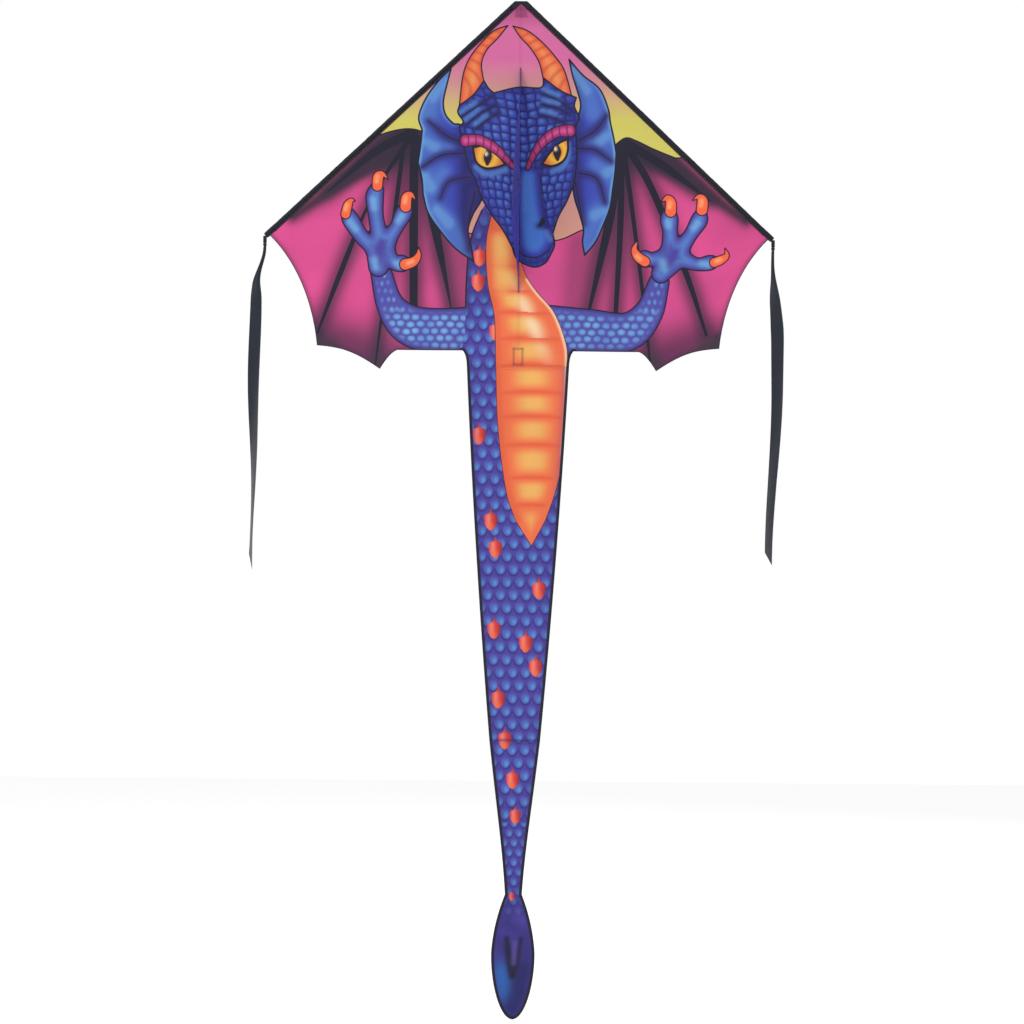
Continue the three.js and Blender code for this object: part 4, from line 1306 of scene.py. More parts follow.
def printed_cloth(name, back=False):
    """The dragon print on ripstop nylon. On the back the dye is paler and the ink thinner."""
    material, tree, shader = new_material(
        name, 0.5, Sheen_Weight=0.04, Sheen_Roughness=0.4, Specular_IOR_Level=0.25
    )
    place = flat_place(tree)
    dye = attribute(tree, "print", "Color")
    if back:
        dye = mixed(tree, 0.16, dye, BACK_HAZE)
    inked = add_node(
        tree,
        "ShaderNodeMapRange",
        {"interpolation_type": "SMOOTHSTEP"},
        _0=attribute(tree, "ink", "Fac"),
        _1=0.45,
        _2=-0.45,
        _3=0.0,
        _4=0.84 if back else 1.0,
    ).outputs[0]
    drawn = mixed(tree, inked, dye, NAVY_INK)
    cloudy = scaled(tree, noise(tree, place, 9, 4), 0.74, 0.90)
    speckled = scaled(tree, noise(tree, place, 420, 2), 0.95, 1.05)
    tone = combined(tree, "MULTIPLY", cloudy, speckled, scaled(tree, weave(tree, place, shader), 1.0, 0.93))
    tree.links.new(multiplied(tree, drawn, tone), shader.inputs["Base Color"])
    tree.links.new(scaled(tree, noise(tree, place, 60, 3), 0.42, 0.60), shader.inputs["Roughness"])
    return material


def plain_cloth(name, tint, rough=0.6, thread=0.0009, ripstop=0.005, sheen=0.06):
    """Dyed cloth in one colour, slightly uneven, with paler rubbed places."""
    material, tree, shader = new_material(
        name, rough, Sheen_Weight=sheen, Sheen_Roughness=0.45, Specular_IOR_Level=0.2
    )
    place = flat_place(tree)
    grid = weave(tree, place, shader, thread, ripstop)
    uneven = scaled(tree, noise(tree, place, 24, 5), 0.78, 1.22)
    rubbed = scaled(tree, noise(tree, place, 150, 4, 0.7), -1.6, 1.4)
    pale = mixed(tree, scaled(tree, rubbed, 0.0, 0.2), tint, tint * 1.9 + 0.012)
    tone = combined(tree, "MULTIPLY", uneven, scaled(tree, grid, 1.0, 0.85))
    tree.links.new(multiplied(tree, pale, tone), shader.inputs["Base Color"])
    gloss = scaled(tree, noise(tree, place, 80, 3), rough - 0.1, rough + 0.12)
    tree.links.new(gloss, shader.inputs["Roughness"])
    return material


def thread_material(name, tint):
    """Twisted sewing thread."""
    material, tree, shader = new_material(name, 0.55, Sheen_Weight=0.3, Specular_IOR_Level=0.3)
    twist = wave(tree, "DIAGONAL", flat_place(tree), 700.0, 1.0)
    tree.links.new(multiplied(tree, tint, scaled(tree, twist, 0.7, 1.3)), shader.inputs["Base Color"])
    bumped(tree, shader, twist, 0.0001, 0.6)
    return material


def hard_material(name, tint, rough, stretch=(1, 1, 1), scale=200.0, bump=0.00005, spread=0.2, **sockets):
    """Plastic, rubber, fibreglass or metal: grain stretched along the piece, and uneven gloss."""
    material, tree, shader = new_material(name, rough, **sockets)
    place = add_node(tree, "ShaderNodeTexCoord").outputs["Object"]
    drawn_out = add_node(tree, "ShaderNodeVectorMath", {"operation": "MULTIPLY"}, _0=place, _1=stretch)
    grain = noise(tree, drawn_out.outputs["Vector"], scale, 4, 0.6)
    broad = scaled(tree, noise(tree, place, 30, 3), 0.85, 1.15)
    tone = combined(tree, "MULTIPLY", scaled(tree, grain, 1 - spread, 1 + spread), broad)
    tree.links.new(multiplied(tree, tint, tone), shader.inputs["Base Color"])
    tree.links.new(scaled(tree, grain, max(rough - 0.12, 0.05), rough + 0.15), shader.inputs["Roughness"])
    bumped(tree, shader, grain, bump, 0.6)
    return material


def rod_material(name, stretch):
    """Black fibreglass with its fibres along the rod."""
    return hard_material(
        name, colour(40, 40, 44), 0.32, stretch, 900.0, spread=0.35, Coat_Weight=0.25, Coat_Roughness=0.2
    )


front_print = printed_cloth("dragon_print")
back_print = printed_cloth("dragon_print_back", back=True)
thread = thread_material("dark_thread", colour(44, 36, 58))
pale_thread = thread_material("grey_thread", colour(92, 92, 104))
black_cloth = plain_cloth("black_sleeve_cloth", colour(24, 23, 34), rough=0.55)
keel_cloth = plain_cloth("keel_cloth", colour(50, 42, 150), rough=0.5)
keel_cloth_left = plain_cloth("keel_cloth_left", colour(46, 40, 144), rough=0.52)
patch_cloth = plain_cloth("keel_patch_cloth", colour(40, 38, 118), rough=0.6, ripstop=0.003)
taffeta = {"thread": 0.0006, "ripstop": 0.033, "sheen": 0.1}
ribbon_cloth = plain_cloth("ribbon_taffeta", colour(30, 35, 46), 0.45, **taffeta)
ribbon_back = plain_cloth("ribbon_taffeta_back", colour(26, 30, 40), 0.5, **taffeta)
fibreglass = rod_material("black_fibreglass", (1, 1, 0.04))
spreader_glass = rod_material("black_fibreglass_across", (0.04, 1, 1))
vinyl = hard_material("black_vinyl", colour(24, 24, 27), 0.48, scale=350.0, bump=0.00008)
black_nickel = hard_material(
    "black_nickel", colour(84, 84, 92), 0.3, (1, 1, 6), 260.0, bump=0.00003, spread=0.12, Metallic=1.0
)


# ---------------------------------------------------------------- camera

PICTURE_HEIGHT = 2.304  # what the picture covers at the kite
CAMERA_DISTANCE = 9.0
PICTURE_CENTRE = (-0.0105, 0.0, -1.1496)
ROLL = math.radians(-0.5)

camera = linked("camera", bpy.data.cameras.new("camera"))
camera.data.lens = camera.data.sensor_width * CAMERA_DISTANCE / PICTURE_HEIGHT
camera.location = (PICTURE_CENTRE[0], -CAMERA_DISTANCE, PICTURE_CENTRE[2])
camera.rotation_euler = (math.pi / 2, ROLL, 0)
camera.data.clip_end = 60
bpy.context.scene.camera = camera


# ---------------------------------------------------------------- sail

HEMMED = slice(2, 7)  # the runs of the sail's outline that are hemmed
INTO_TAIL = 6  # the run that curves into the tail
HEM_WIDTH = 7


def sail_runs(side):
    """The outline of half of the sail, in runs, from the middle of the nose round to the tail."""
    first = edge_point(0, CLOTH_INSET)
    apex = (0, first[1] - first[0] * ALONG[1] / ALONG[0])
    tip = edge_point(EDGE_LENGTH - 7, CLOTH_INSET)
    hem_end = (HEM_OUTER_X, HEM_DROP)
    fold = (FOLD_HEM_X, HEM_DROP)
    tail_corner = (TAIL_TOP_HALF_WIDTH, TAIL_TOP_DROP)
    tail_middle = (0, TAIL_TOP_DROP)
    runs = [
        [tail_middle, apex],
        [apex, tip],
        bezier(tip, *TIP_CURVE, CORNER),
        bezier(CORNER, *SCALLOP_CURVE, POINT),
        bezier(POINT, POINT_CURVE, hem_end, steps=8),
        [hem_end, fold],
        bezier(fold, (TAIL_TOP_HALF_WIDTH + 1, HEM_DROP + 8), tail_corner, steps=8),
        [tail_corner, tail_middle],
    ]
    return [np.array(run, float) * (side, 1) for run in runs]


def draw_sail(x, d):
    """The print on the sail: inked hems with painted shade along them, and painted shade at the corners and
    points, where the strengthened places show through.
    """
    p = drawn_picture(x, d)
    halves = [sail_runs(side) for side in SIDES]
    hem = line_distance(x, d, *[run for runs in halves for run in runs[HEMMED]])
    # Painted shade along the folded hems; the ink on them is the printed edge.
    p.colour[:] = mix(p.colour, MEMBRANE_DARK, 0.55 * np.exp(-((hem / 7) ** 2)))
    p.ink = np.minimum(p.ink, hem - 1.6)
    p.fine |= hem < 8
    into_tail = line_distance(x, d, *[runs[INTO_TAIL] for runs in halves])
    p.ink = np.minimum(p.ink, into_tail - 6)
    # Painted shade at each outer corner and at each point of the sail.
    for side in SIDES:
        p.glow(CORNER_PAINTED_SHADE, 18, 0.85, *at_side(side, [(447, 772, 5), (420, 778, 3)]))
        p.glow(CORNER_PAINTED_SHADE, 14, 0.75, *at_side(side, [(311, 822, 3), (311, 808, 2)]))
    return p


def seams_of(side):
    """Stitches on half of the sail: hems, centre seam, nose pocket, spine pocket and tail seam."""
    tail_seam = TAIL_TOP_DROP - 3
    lines = [
        [(3.0, 38), (3.0, 780)],
        [(11.5, 15), (11.5, 30.5), (1, 30.5)],
        [(9, 784), (9, 816), (1, 816)],
        [(1, 784), (9, 784)],
        [(2, tail_seam), (108, tail_seam)],
    ]
    hems = [beside(run, -side * 5.5) for run in sail_runs(side)[2:6]]
    return hems + [at_side(side, line) for line in lines]


def hem_thickness(runs, width):
    """Cloth that is thicker where its edge is folded over."""
    def thickness(u, v):
        return CLOTH + HEM_RISE * smoothstep(width + 0.8, width - 0.8, line_distance(u, v, *runs))
    return thickness


def make_sail(side):
    name = SIDES[side]
    runs = sail_runs(side)
    cut = Cut(*runs, drawn=draw_sail)
    folded = hem_thickness(runs[HEMMED], HEM_WIDTH)
    ridge = hem_thickness([[(0, 0), (0, TAIL_TOP_DROP)]], 2.2)
    place = lying(sail_depth, lambda u, v: np.maximum(folded(u, v), ridge(u, v)))
    piece = cloth_piece(f"sail_{name}", cut, place, seams_of(side), [front_print, back_print, thread])
    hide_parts(f"sail_wing_{name}", "sail_centre")
    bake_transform(piece)


# ---------------------------------------------------------------- tail

def tail_sides():
    """The tail's right edge, as runs of the upper and the lower panel."""
    top = (TAIL_TOP_HALF_WIDTH, TAIL_TOP_DROP)
    seam = (TAIL_SEAM_HALF_WIDTH, TAIL_SEAM_DROP)
    lower = [
        bezier(seam, *WAIST_CURVE, WAIST),
        bezier(WAIST, LEAF_TOP_CURVE, LEAF_SIDE),
        bezier(LEAF_SIDE, *LEAF_END_CURVE, (0, TAIL_TIP_DROP)),
    ]
    return [bezier(top, TAIL_CURVE, seam)], lower


def draw_tail(x, d):
    p = drawn_picture(x, d)
    upper, lower = tail_sides()
    edge = line_distance(np.abs(x), d, *upper, *lower)
    p.colour[:] = mix(p.colour, VIOLET_DEEP, 0.5 * np.exp(-((edge / 14) ** 2)))
    # Painted shade along the cross seam between the two tail panels.
    seam = np.abs(d - TAIL_SEAM_DROP)
    p.colour[:] = mix(p.colour, VIOLET_DARK, 0.65 * np.exp(-((seam / 3) ** 2)))
    p.ink = np.minimum(p.ink, edge - 6.5)
    p.fine |= (edge < 10) | (seam < 6)
    return p


def cross_seam(half_width, drop):
    return np.array([(-half_width, drop), (half_width, drop)])


def make_tail_panel(name, parent, sides, top_seam, foot, foot_seams, **sheet):
    """A printed panel that hangs from the cross seam at its top. sides are the runs of its right edge."""
    left_sides = [run * (-1, 1) for run in sides]
    cut = Cut(*sides, *foot, *[run[::-1] for run in left_sides[::-1]], top_seam, drawn=draw_tail)
    place = lying(tail_depth, hem_thickness([*sides, *left_sides], 6.5))
    half_width, top = top_seam[1]
    rows = [beside(run, -5) for run in sides]
    rows += [beside(run, 5) for run in left_sides]
    rows += [cross_seam(half_width - 6, top + gap) for gap in (3, 7)]
    rows += foot_seams
    piece = cloth_piece(f"{name}_cloth", cut, place, rows, [front_print, back_print, thread])
    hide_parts(f"{name}_panel")
    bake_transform(piece)


def make_tail():
    upper, lower = tail_sides()
    top_seam = cross_seam(TAIL_TOP_HALF_WIDTH, TAIL_TOP_DROP)
    low_seam = cross_seam(TAIL_SEAM_HALF_WIDTH, TAIL_SEAM_DROP)
    low_stitches = cross_seam(TAIL_SEAM_HALF_WIDTH - 6, TAIL_SEAM_DROP - 3)
    make_tail_panel(
        "tail_upper", "centre", upper, top_seam, [low_seam[::-1]], [low_stitches],
        flat=(0.23, 0.841), rests_on=["sail_left", "sail_right"],
    )
    make_tail_panel(
        "tail_lower", "tail_upper", lower, low_seam, [], [],
        flat=(0.114, 0.629), rests_on=["tail_upper_cloth"],
    )


# ---------------------------------------------------------------- sleeves and tapes on the leading edges

HINGE_DROP = 545.926  # where the streamers hang from their loops
TAB_X = 571.57
CLIP_DISTANCE = (SPREADER_DROP - edge_point(0, SLEEVE_RADIUS)[1]) / ALONG[1]
WINDOW_HALF = 17
SLEEVE_START = 16.8
SLEEVE_END = EDGE_LENGTH - 21.5


def on_edge(side, distance, inset, y):
    """A point of a leading edge's own frame, in millimetres."""
    x = NOSE_HALF_WIDTH + ALONG[0] * distance + INWARD[0] * inset
    z = -ALONG[1] * distance - INWARD[1] * inset
    return np.stack(np.broadcast_arrays(side * x, y, z), -1)


def lofted(rings, closed=False):
    """Faces between rows of points: rings is (rows, columns, 3)."""
    rows, columns = rings.shape[:2]
    index = np.arange(rows * columns).reshape(rows, columns)
    right = np.roll(index, -1, axis=1) if closed else index[:, 1:]
    left = index if closed else index[:, :-1]
    return np.stack([left[:-1], right[:-1], right[1:], left[1:]], -1).reshape(-1, 4)


def strip_places(across, along):
    """Places on a flat strip of cloth, row by row along it."""
    count = len(across) * len(along)
    return np.stack([np.tile(across, len(along)), np.repeat(along, len(across)), np.zeros(count)], 1)


def outward(section, middle):
    """Directions away from the middle of a section, shorter within a millimetre of it."""
    away = section - middle
    return away / np.maximum(np.hypot(*away.T), 1)[:, None]


def folded_strip(name, outer, inner, quads, flat, flip=False):
    """A strip of cloth from its outer and inner rows of points, closed along every open edge."""
    edges = {}
    for quad in quads:
        for a, b in zip(quad, np.roll(quad, -1)):
            if edges.pop((b, a), None) is None:
                edges[(a, b)] = True
    a, b = np.array(list(edges)).T
    count = len(flat)
    faces = np.vstack([quads, quads[:, ::-1] + count, np.stack([b, a, a + count, b + count], 1)])
    if flip:
        faces = faces[:, ::-1]
    verts = np.vstack([outer.reshape(-1, 3), inner.reshape(-1, 3)])
    return new_piece(name, verts, faces, [black_cloth], flat=np.vstack([flat, flat]))


def closed_tube(name, rings, flip=False):
    """A tube of black cloth through closed rings of points, with both ends shut."""
    rows, columns = rings.shape[:2]
    last = (rows - 1) * columns
    faces = [lofted(rings, closed=True), np.arange(columns)[None, ::-1], np.arange(columns)[None] + last]
    if flip:
        faces = [f[:, ::-1] for f in faces]
    verts = rings.reshape(-1, 3)
    return new_piece(name, verts, faces, [black_cloth], flat=verts[:, [0, 2, 1]])


def add_stitches(piece, rows, place):
    """A child piece that holds the stitches of a sleeve or pocket."""
    parts = [stitches(row, place) for row in rows]
    starts = np.cumsum([0] + [len(v) for v, _ in parts[:-1]])
    verts = np.vstack([v for v, _ in parts])
    faces = np.vstack([f + start for (_, f), start in zip(parts, starts)])
    new_piece(f"{piece.name}_stitches", verts, faces, [pale_thread]).parent = piece


SLEEVE_WALL = 0.5
SLEEVE_ROW = 3.0  # between the rows of the sleeve's points
SLEEVE_HEM = np.array([(14, 0.85), (13.2, 0.95), (12, 0.95), (10.8, 0.95)])
BACK_Y = -2.6  # the window at the clip is cut into everything behind this
LIP_INSET = 9.7  # the last cloth beside the window
LIP_PUSH = (0.55, -0.62)  # takes the lip round the clip


def make_edge_sleeve(side):
    """Cloth folded round the spar and sewn to the sail, open at the back where the clip grips."""
    name = SIDES[side]
    turn = np.linspace(math.radians(10), math.radians(350), 27)
    arc = SLEEVE_RADIUS * np.stack([1 + np.cos(turn), -np.sin(turn)], 1)
    section = np.vstack([SLEEVE_HEM * (1, -1), arc, SLEEVE_HEM[::-1]])
    inset, y = section.T
    lip = (y < 0) & (y > BACK_Y) & (np.abs(inset - LIP_INSET) < 0.6)
    away = outward(section, (SLEEVE_RADIUS, 0))
    wall = -SLEEVE_WALL * away * smoothstep(11.5, 9, inset)[:, None]
    wall[:, 1] -= 0.8 * SLEEVE_WALL * np.sign(y) * smoothstep(9, 11.5, inset)
    distances = np.arange(SLEEVE_START, SLEEVE_END + SLEEVE_ROW / 2, SLEEVE_ROW)
    from_clip = np.abs(distances - CLIP_DISTANCE)
    pushes = np.outer(smoothstep(WINDOW_HALF + 6, WINDOW_HALF + 1, from_clip), lip)
    outer, inner = [], []
    for t, push in zip(distances, pushes):
        crease = 0.16 * math.sin(t / 5.1) + 0.14 * math.sin(t / 2.3 + 1) + 0.12 * math.sin(t / 19)
        soft = 0.35 + 0.65 * np.abs(np.sin(np.arange(len(section)) * 0.9 + t / 31))
        shape = section + away * (crease * soft * smoothstep(11, 8, inset))[:, None]
        shape += np.outer(push, LIP_PUSH)
        outer.append(on_edge(side, t, *shape.T))
        inner.append(on_edge(side, t, *(shape + wall).T))
    quads = lofted(np.array(outer))
    row, column = np.divmod(quads[:, 0], len(section))
    in_window = np.abs(distances[row] + SLEEVE_ROW / 2 - CLIP_DISTANCE) < WINDOW_HALF
    cut_away = ((inset < 10.5) & (y > BACK_Y) & ~lip)[column]
    flat = strip_places(np.arange(len(section)) * 1.2, distances)[:, [1, 0, 2]]
    quads = quads[~(in_window & cut_away)]
    rows = (np.array(outer), np.array(inner))
    piece = folded_strip(f"edge_sleeve_{name}", *rows, quads, flat, flip=side < 0)
    seams = [[(SLEEVE_START + 2, place), (SLEEVE_END - 2, place)] for place in (12.6, 10.9)]
    add_stitches(piece, seams, lambda u, v, face: on_edge(side, u, v, 0.92 * face))
    stands_for(piece, f"{name}_wing", f"leading_edge_sleeve_{name}")


POUCH_INSET = 5.3  # middle of the pouch
POUCH_SIZE = (5.8, 5.6)
LOOP_RADIUS = 3.1


def make_tip_pouch(side):
    """The pouch that closes the sleeve round the spar's end cap."""
    name = SIDES[side]
    turn = np.linspace(math.radians(14), math.radians(346), 25)
    arc = np.stack([POUCH_INSET + POUCH_SIZE[0] * np.cos(turn), -POUCH_SIZE[1] * np.sin(turn)], 1)
    section = np.vstack([[(13, -0.9), (11.9, -1.1)], arc, [(11.9, 1.1), (13, 0.9)]])
    rings = []
    for t in np.linspace(SLEEVE_END - 0.6, EDGE_LENGTH + 0.6, 14):
        closed = smoothstep(EDGE_LENGTH - 5, EDGE_LENGTH + 0.6, t)
        lumps = 1 + 0.035 * np.sin(3 * np.arctan2(section[:, 1], section[:, 0] - 5) + t / 3)
        inset = POUCH_INSET + (section[:, 0] - POUCH_INSET) * (1 - 0.12 * closed)
        rings.append(on_edge(side, t, inset, section[:, 1] * lumps * (1 - 0.72 * closed)))
    pouch = closed_tube(f"tip_pocket_{name}_cloth", np.array(rings), flip=side < 0)
    seam = [(SLEEVE_END + 1, 12), (EDGE_LENGTH - 0.5, 12)]
    add_stitches(pouch, [seam], lambda u, v, face: on_edge(side, u, v, 1.12 * face))
    stands_for(pouch, f"{name}_wing", f"tip_pocket_{name}")


def make_tip_tab(side):
    """The loop of tape below the tip that the streamer hangs from."""
    name = SIDES[side]
    around = np.linspace(-2.6, 2.6, 15)
    low = LOOP_RADIUS * np.stack([np.sin(around), -np.cos(around)], 1)
    loop = np.vstack([[(-0.9, 9)], low, [(0.9, 9), (0.9, 13), (-0.9, 13)]])
    rings = []
    for x, size in ((-4, 0.7), (-3.7, 0.95), (-3.3, 1), (0, 1), (3.3, 1), (3.7, 0.95), (4, 0.7)):
        y = loop[:, 0] * size
        z = loop[:, 1] * (0.94 + 0.06 * size) - HINGE_DROP
        rings.append(np.stack([np.full(len(loop), side * TAB_X + x), y, z], 1))
    tab = closed_tube(f"tip_tab_{name}_cloth", np.array(rings))
    stands_for(tab, f"{name}_wing", f"tip_tab_{name}")


def softened(node, width):
    """A small sewn piece of black cloth: the CAD node's solid with its edges rounded."""
    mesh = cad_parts[node].data.copy()
    mesh.name = f"{node}_cloth"
    mesh.materials.clear()
    mesh.materials.append(black_cloth)
    for polygon in mesh.polygons:
        polygon.use_smooth = True
    places = np.zeros(len(mesh.vertices) * 3, np.float32)
    mesh.vertices.foreach_get("co", places)
    set_attribute(mesh, "flat", "FLOAT_VECTOR", places.reshape(-1, 3)[:, [0, 2, 1]])
    piece = linked(mesh.name, mesh)
    bevel = {"width": width * MM, "segments": 3, "angle_limit": math.radians(35), "harden_normals": False}
    for kind, settings in (
        ("WELD", {"merge_threshold": 0.00002}),
        ("DECIMATE", {"decimate_type": "DISSOLVE", "angle_limit": math.radians(2)}),
        ("BEVEL", {"limit_method": "ANGLE", **bevel}),
        ("TRIANGULATE", {}),
    ):
        modifier = piece.modifiers.new(kind.lower(), kind)
        for setting, value in settings.items():
            setattr(modifier, setting, value)
    stands_for(piece, "centre", node)


# ---------------------------------------------------------------- keel

GROMMET_DEPTH = 148
KEEL_HOLE = (GROMMET_DEPTH, KEEL_POINT_DROP, 4.6)
KEEL_ROOT = 0.4  # the keel's cloth starts this far in front of the sail
KEEL_ROUNDING = 26
KEEL_SPACING = 3.5
PATCH_THICKNESS = 0.4
PATCH_ROOT = KEEL_DEPTH - 60  # the patches cover the keel from here to its point
CURL = 16  # how far the hanging keel bulges to one side


def keel_curl(p, d):
    """The loose keel bulges to the left between its root and the tow point."""
    tall = smoothstep(KEEL_TOP_DROP + 40, 470, d) * smoothstep(KEEL_BOTTOM_DROP + 30, 560, d)
    share = np.clip(p / GROMMET_DEPTH, 0, 1) ** 1.6
    ripple = 0.4 * waves(p, d, 60, 21) * smoothstep(5, 60, p) * smoothstep(150, 110, p)
    return ripple - CURL * np.sin(math.pi * share) * (0.2 + 0.8 * tall)


def upright(thickness, lift=0):
    """Where the faces of a cloth lie that stands out from the sail: u is depth, v is the drop."""
    def place(u, v, side):
        x = keel_curl(u, v) + lift + side * thickness(u, v) / 2
        return np.stack([x, -np.asarray(u, float), -v], 1)
    return place


def keel_edges():
    """The keel's free edge from the top: straight, round the point, and curved back to the seam."""
    point = np.array((KEEL_DEPTH, KEEL_POINT_DROP), float)
    top = np.array((KEEL_ROOT, KEEL_TOP_DROP))
    bottom = np.array((KEEL_ROOT, KEEL_BOTTOM_DROP))
    upper = point + (top - point) / np.linalg.norm(top - point) * KEEL_ROUNDING
    lower = point + (bottom - point) / np.linalg.norm(bottom - point) * KEEL_ROUNDING
    under = bezier(lower, (KEEL_DEPTH * 0.42, KEEL_POINT_DROP + 98), bottom)
    return np.array([top, upper]), bezier(upper, point, lower, steps=8), under


def make_keel():
    straight, nose, under = keel_edges()
    cut = Cut(straight, nose, under, [under[-1], straight[0]], spacing=KEEL_SPACING, hole=KEEL_HOLE)
    place = upright(hem_thickness([straight, nose, under], HEM_WIDTH))
    rows = [beside(run, -5) for run in (straight, under)]
    keel = cloth_piece("keel", cut, place, rows, [keel_cloth_left, keel_cloth, thread])
    stands_for(keel, "keel", "keel_panel")


def make_keel_patch(side):
    """A doubled layer over the keel's point, round the grommet."""
    name = SIDES[side]
    straight, nose, under = keel_edges()
    slope = (KEEL_POINT_DROP - KEEL_TOP_DROP) / (KEEL_DEPTH - KEEL_ROOT)
    high = (PATCH_ROOT, KEEL_TOP_DROP + (PATCH_ROOT - KEEL_ROOT) * slope)
    low = (PATCH_ROOT, np.interp(-PATCH_ROOT, -under[:, 0], under[:, 1]))
    foot = np.vstack([under[under[:, 0] > PATCH_ROOT + 1], [low]])
    cut = Cut([high, straight[1]], nose, foot, [low, high], spacing=KEEL_SPACING, hole=KEEL_HOLE)
    lift = side * (CLOTH / 2 + HEM_RISE / 2 + 0.32)
    place = upright(lambda u, v: np.full(np.shape(u), PATCH_THICKNESS), lift)
    nearest = under[np.argmin(np.abs(under[:, 0] - PATCH_ROOT))]
    seam = [(PATCH_ROOT + 4, high[1] + 12), (PATCH_ROOT + 4, nearest[1] - 10)]
    patch = cloth_piece(f"keel_patch_{name}_cloth", cut, place, [seam], [patch_cloth, patch_cloth, thread])
    stands_for(patch, "keel", f"keel_patch_{name}")


# ---------------------------------------------------------------- streamers

KNOT_TOP = 1.0
KNOT_LENGTH = 13.6
RIBBON_WIDTH = 33
RIBBON_THICKNESS = 0.5
RIBBON_BOTTOM = {-1: 1268, 1: 1252}
RIBBON_SLANT = {-1: 1.1, 1: 0.9}
ROLL_SIZE = (1.0, 2.1)  # half the thickness and half the width of the ribbon, rolled narrow in its knot


def rim_of(rows, columns):
    """The points round the edge of a grid, in order."""
    count = rows * columns
    top = np.arange(columns)
    right = np.arange(2 * columns - 1, count, columns)
    bottom = np.arange(count - 2, count - columns - 1, -1)
    left = np.arange(count - 2 * columns, 0, -columns)
    return np.concatenate([top, right, bottom, left])


def ribbon_hang(side, share):
    """How each ribbon turns and drifts to the side on its way down, for shares of its length."""
    if side < 0:
        turn = np.radians(62 - 22 * np.sin(share * 5.2) * smoothstep(-0.02, 0.17, share))
        drift = -20 * smoothstep(0, 0.12, share) - 4 * share + 2 * np.sin(share * 11)
    else:
        turn = np.radians(np.interp(share, [0, 0.25, 0.45, 0.75, 1], [68, 24, 34, 50, 58]))
        drift = 12 * smoothstep(0.02, 0.3, share) - 16 * smoothstep(0.45, 1.0, share)
    return turn, drift


def make_streamer(side):
    """A ribbon gathered into its knot, which opens and turns on its way down and is cut on the slant."""
    name = SIDES[side]
    top = HINGE_DROP + KNOT_TOP + KNOT_LENGTH - 2
    bottom = RIBBON_BOTTOM[side]
    rows = np.arange(top, bottom + 2, 4.0)
    across = np.linspace(-1, 1, 13)
    share = ((rows - top) / (bottom - top))[:, None]
    opened = smoothstep(-0.02, 0.17, share)
    turn, drift = ribbon_hang(side, share)
    sway = 5 * np.sin(share * 7 + side) * smoothstep(0, 0.2, share)
    slant = 16 * across * smoothstep(0.93, 1.0, share) * RIBBON_SLANT[side]
    u = across * RIBBON_WIDTH / 2 * (0.16 + 0.84 * opened)
    pleat = 2.6 * np.sin(across * 7) * (1 - opened)
    cup = 1.6 * (1 - across**2) * np.sin(share * 9 + 0.5) + pleat
    verts = []
    for face in (1, -1):
        out = cup + face * RIBBON_THICKNESS / 2
        x = side * TAB_X + drift + u * np.cos(turn) - out * np.sin(turn)
        y = sway + u * np.sin(turn) + out * np.cos(turn)
        verts.append(np.stack([x, y, -rows[:, None] - slant], -1))
    quads = lofted(verts[0])
    count = len(rows) * len(across)
    a = rim_of(len(rows), len(across))
    b = np.roll(a, -1)
    faces = np.vstack([quads[:, ::-1], quads + count, np.stack([a, b, b + count, a + count], 1)])
    slots = np.zeros(len(faces), int)
    slots[:len(quads)] = 1
    flat = strip_places(across * RIBBON_WIDTH / 2, rows)
    flat = np.vstack([flat, flat])
    verts = np.concatenate(verts).reshape(-1, 3)
    ribbon = new_piece(f"ribbon_{name}", verts, faces, [ribbon_cloth, ribbon_back], slots, flat)
    stands_for(ribbon, f"{name}_streamer", f"streamer_{name}")
    knot = make_knot(side)


def unit(vectors):
    return vectors / np.linalg.norm(vectors, axis=-1)[..., None]


def make_knot(side):
    """An overhand knot: the ribbon, rolled narrow, runs round itself."""
    name = SIDES[side]
    t = np.linspace(0, 2 * math.pi, 72, endpoint=False)
    x = 1.053 * (np.sin(t) + 2 * np.sin(2 * t))
    y = -2.3 * np.sin(3 * t)
    z = 1.824 * (np.cos(t) - 2 * np.cos(2 * t))
    path = np.stack([x, y, z], 1)
    run = unit(np.roll(path, -1, axis=0) - np.roll(path, 1, axis=0))
    across = unit(np.cross(run, unit(path)))
    out = np.cross(across, run)
    turn = np.linspace(0, 2 * math.pi, 14, endpoint=False)[None, :, None]
    ripple = 1 + 0.08 * np.sin(5 * turn) * np.sin(7 * t)[:, None, None]
    half_thick, half_wide = ROLL_SIZE
    section = half_thick * np.cos(turn) * out[:, None] + half_wide * np.sin(turn) * across[:, None]
    middle = np.array([side * TAB_X, 0, -HINGE_DROP - KNOT_TOP - KNOT_LENGTH / 2])
    rings = path[:, None] + ripple * section + middle
    verts = rings.reshape(-1, 3)
    faces = lofted(np.concatenate([rings, rings[:1]]), closed=True) % len(verts)
    knot = new_piece(f"ribbon_knot_{name}", verts, faces, [ribbon_cloth])
    stands_for(knot, f"{name}_streamer", f"streamer_knot_{name}")
    return knot


# ---------------------------------------------------------------- small cloth pieces at the back

def make_corner_patch(side):
    """A doubled triangle of black cloth behind the outer corner of the wing."""
    name = SIDES[side]
    a, b, c = at_side(side, [(451, 776), (453, 741), (416, 777)])
    cut = Cut([a, b], [b, c], [c, a], spacing=3)
    lift = (CLOTH + HEM_RISE) / 2 + 0.4
    place = lying(sail_depth, lambda u, v: np.full(np.shape(u), CLOTH), lift)
    seam = at_side(side, [(447, 772), (448, 752), (428, 773), (446, 772)])
    looks = [black_cloth, black_cloth, pale_thread]
    patch = cloth_piece(f"corner_patch_{name}_cloth", cut, place, [seam], looks)
    stands_for(patch, f"{name}_wing", f"corner_patch_{name}")


SPINE_WALL = 0.4
SPINE_FLANGE = np.array([(11, 1.0), (9, 1.0), (7, 1.0), (5, 1.1), (3.4, 1.35)])


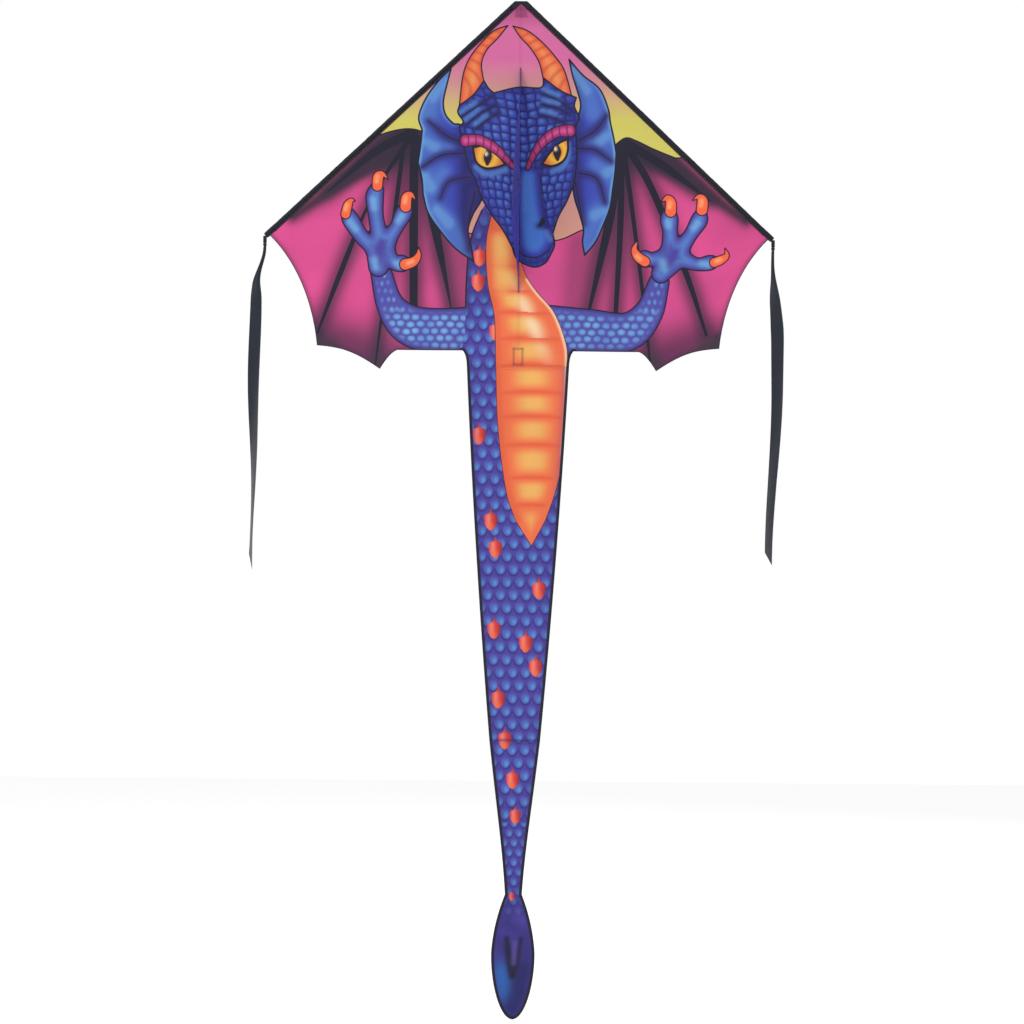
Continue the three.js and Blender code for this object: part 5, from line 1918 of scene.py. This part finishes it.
def make_spine_sleeve():
    """The sleeve that holds the spine to the back of the sail: a strip sewn down on both sides."""
    low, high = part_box("spine_sleeve")
    axis_y = (low.y + high.y) / 2 / MM
    top, bottom = -high.z / MM, -low.z / MM
    turn = np.linspace(math.radians(-60), math.radians(240), 25)
    arc = np.stack([SLEEVE_RADIUS * np.cos(turn), axis_y + SLEEVE_RADIUS * np.sin(turn)], 1)
    section = np.vstack([SPINE_FLANGE, arc, SPINE_FLANGE[::-1] * (-1, 1)])
    on_arc = slice(len(SPINE_FLANGE), -len(SPINE_FLANGE))
    away = outward(section, (0, axis_y))
    rows = np.arange(top - 1.2, bottom + 3, 4.0)
    outer, inner = [], []
    for d in rows:
        crease = 0.15 * math.sin(d / 6.3) + 0.15 * math.sin(d / 2.9 + 2)
        soft = np.zeros(len(section))
        soft[on_arc] = np.abs(np.sin(np.arange(len(arc)) * 0.8 + d / 23))
        shape = section + away * (crease * soft)[:, None]
        outer.append(np.column_stack([shape, np.full(len(shape), -d)]))
        shape = shape - away * SPINE_WALL * (soft > 0)[:, None]
        shape[:, 1] -= SPINE_WALL * (soft == 0)
        inner.append(np.column_stack([shape, np.full(len(shape), -d)]))
    outer = np.array(outer)
    flat = strip_places(np.arange(len(section)) * 1.3, rows)
    sleeve = folded_strip("spine_sleeve_cloth", outer, np.array(inner), lofted(outer), flat)
    seams = [[(x, top + 4), (x, bottom - 4)] for x in (-8.5, 8.5)]
    add_stitches(sleeve, seams, lambda u, v, face: np.stack([u, np.full(len(u), 0.75 + 0.3 * face), -v], 1))
    stands_for(sleeve, "centre", "spine_sleeve")


# ---------------------------------------------------------------- everything together

for side in SIDES:
    make_sail(side)
make_tail()
make_keel()
for side in SIDES:
    make_keel_patch(side)
make_spine_sleeve()
for side in SIDES:
    make_edge_sleeve(side)
    make_streamer(side)
    make_corner_patch(side)
    make_tip_pouch(side)
    make_tip_tab(side)
for node, rounding in (("nose_binding", 2.0), ("nose_pocket", 0.5), ("spine_pocket", 0.5)):
    softened(node, rounding)

LOOKS = {
    "spine_spar": fibreglass,
    "leading_edge_spar": fibreglass,
    "spreader_rod": spreader_glass,
    "cap": vinyl,
    "spreader_clip": vinyl,
    "tow_grommet": black_nickel,
}
for node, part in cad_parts.items():
    if part.hide_render:
        continue
    look = next(material for key, material in LOOKS.items() if key in node)
    part.data.materials.clear()
    part.data.materials.append(look)


# ---------------------------------------------------------------- floor, light

FLOOR_Z = -2.36
FLOOR_REACH = 9

corners = [(x * FLOOR_REACH, y * FLOOR_REACH, FLOOR_Z) for x, y in ((-1, -1), (1, -1), (1, 1), (-1, 1))]
floor_mesh = bpy.data.meshes.new("floor")
floor_mesh.from_pydata(corners, [], [(0, 1, 2, 3)])
floor_look = new_material("pale_floor", 0.9, Base_Color=(0.95, 0.95, 0.95), Specular_IOR_Level=0.0)[0]
floor_mesh.materials.append(floor_look)
linked("floor", floor_mesh)

world = bpy.data.worlds.new("studio")
bpy.context.scene.world = world
world.use_nodes = True
background = world.node_tree.nodes["Background"]
background.inputs["Color"].default_value = (1, 1, 1, 1)
background.inputs["Strength"].default_value = 1.0


def add_light(name, place, aim, size, watts):
    light = bpy.data.lights.new(name, "AREA")
    light.size = size
    light.energy = watts
    lamp = linked(name, light)
    lamp.location = place
    lamp.rotation_euler = (Vector(aim) - Vector(place)).to_track_quat("-Z", "Y").to_euler()


add_light("key", (-3.2, -4.2, 1.6), (0, 0, -1.0), 2.2, 90)
add_light("back_key", (3.0, 4.5, 1.4), (0, 0, -1.0), 2.4, 90)

bpy.context.scene.view_settings.view_transform = "Standard"
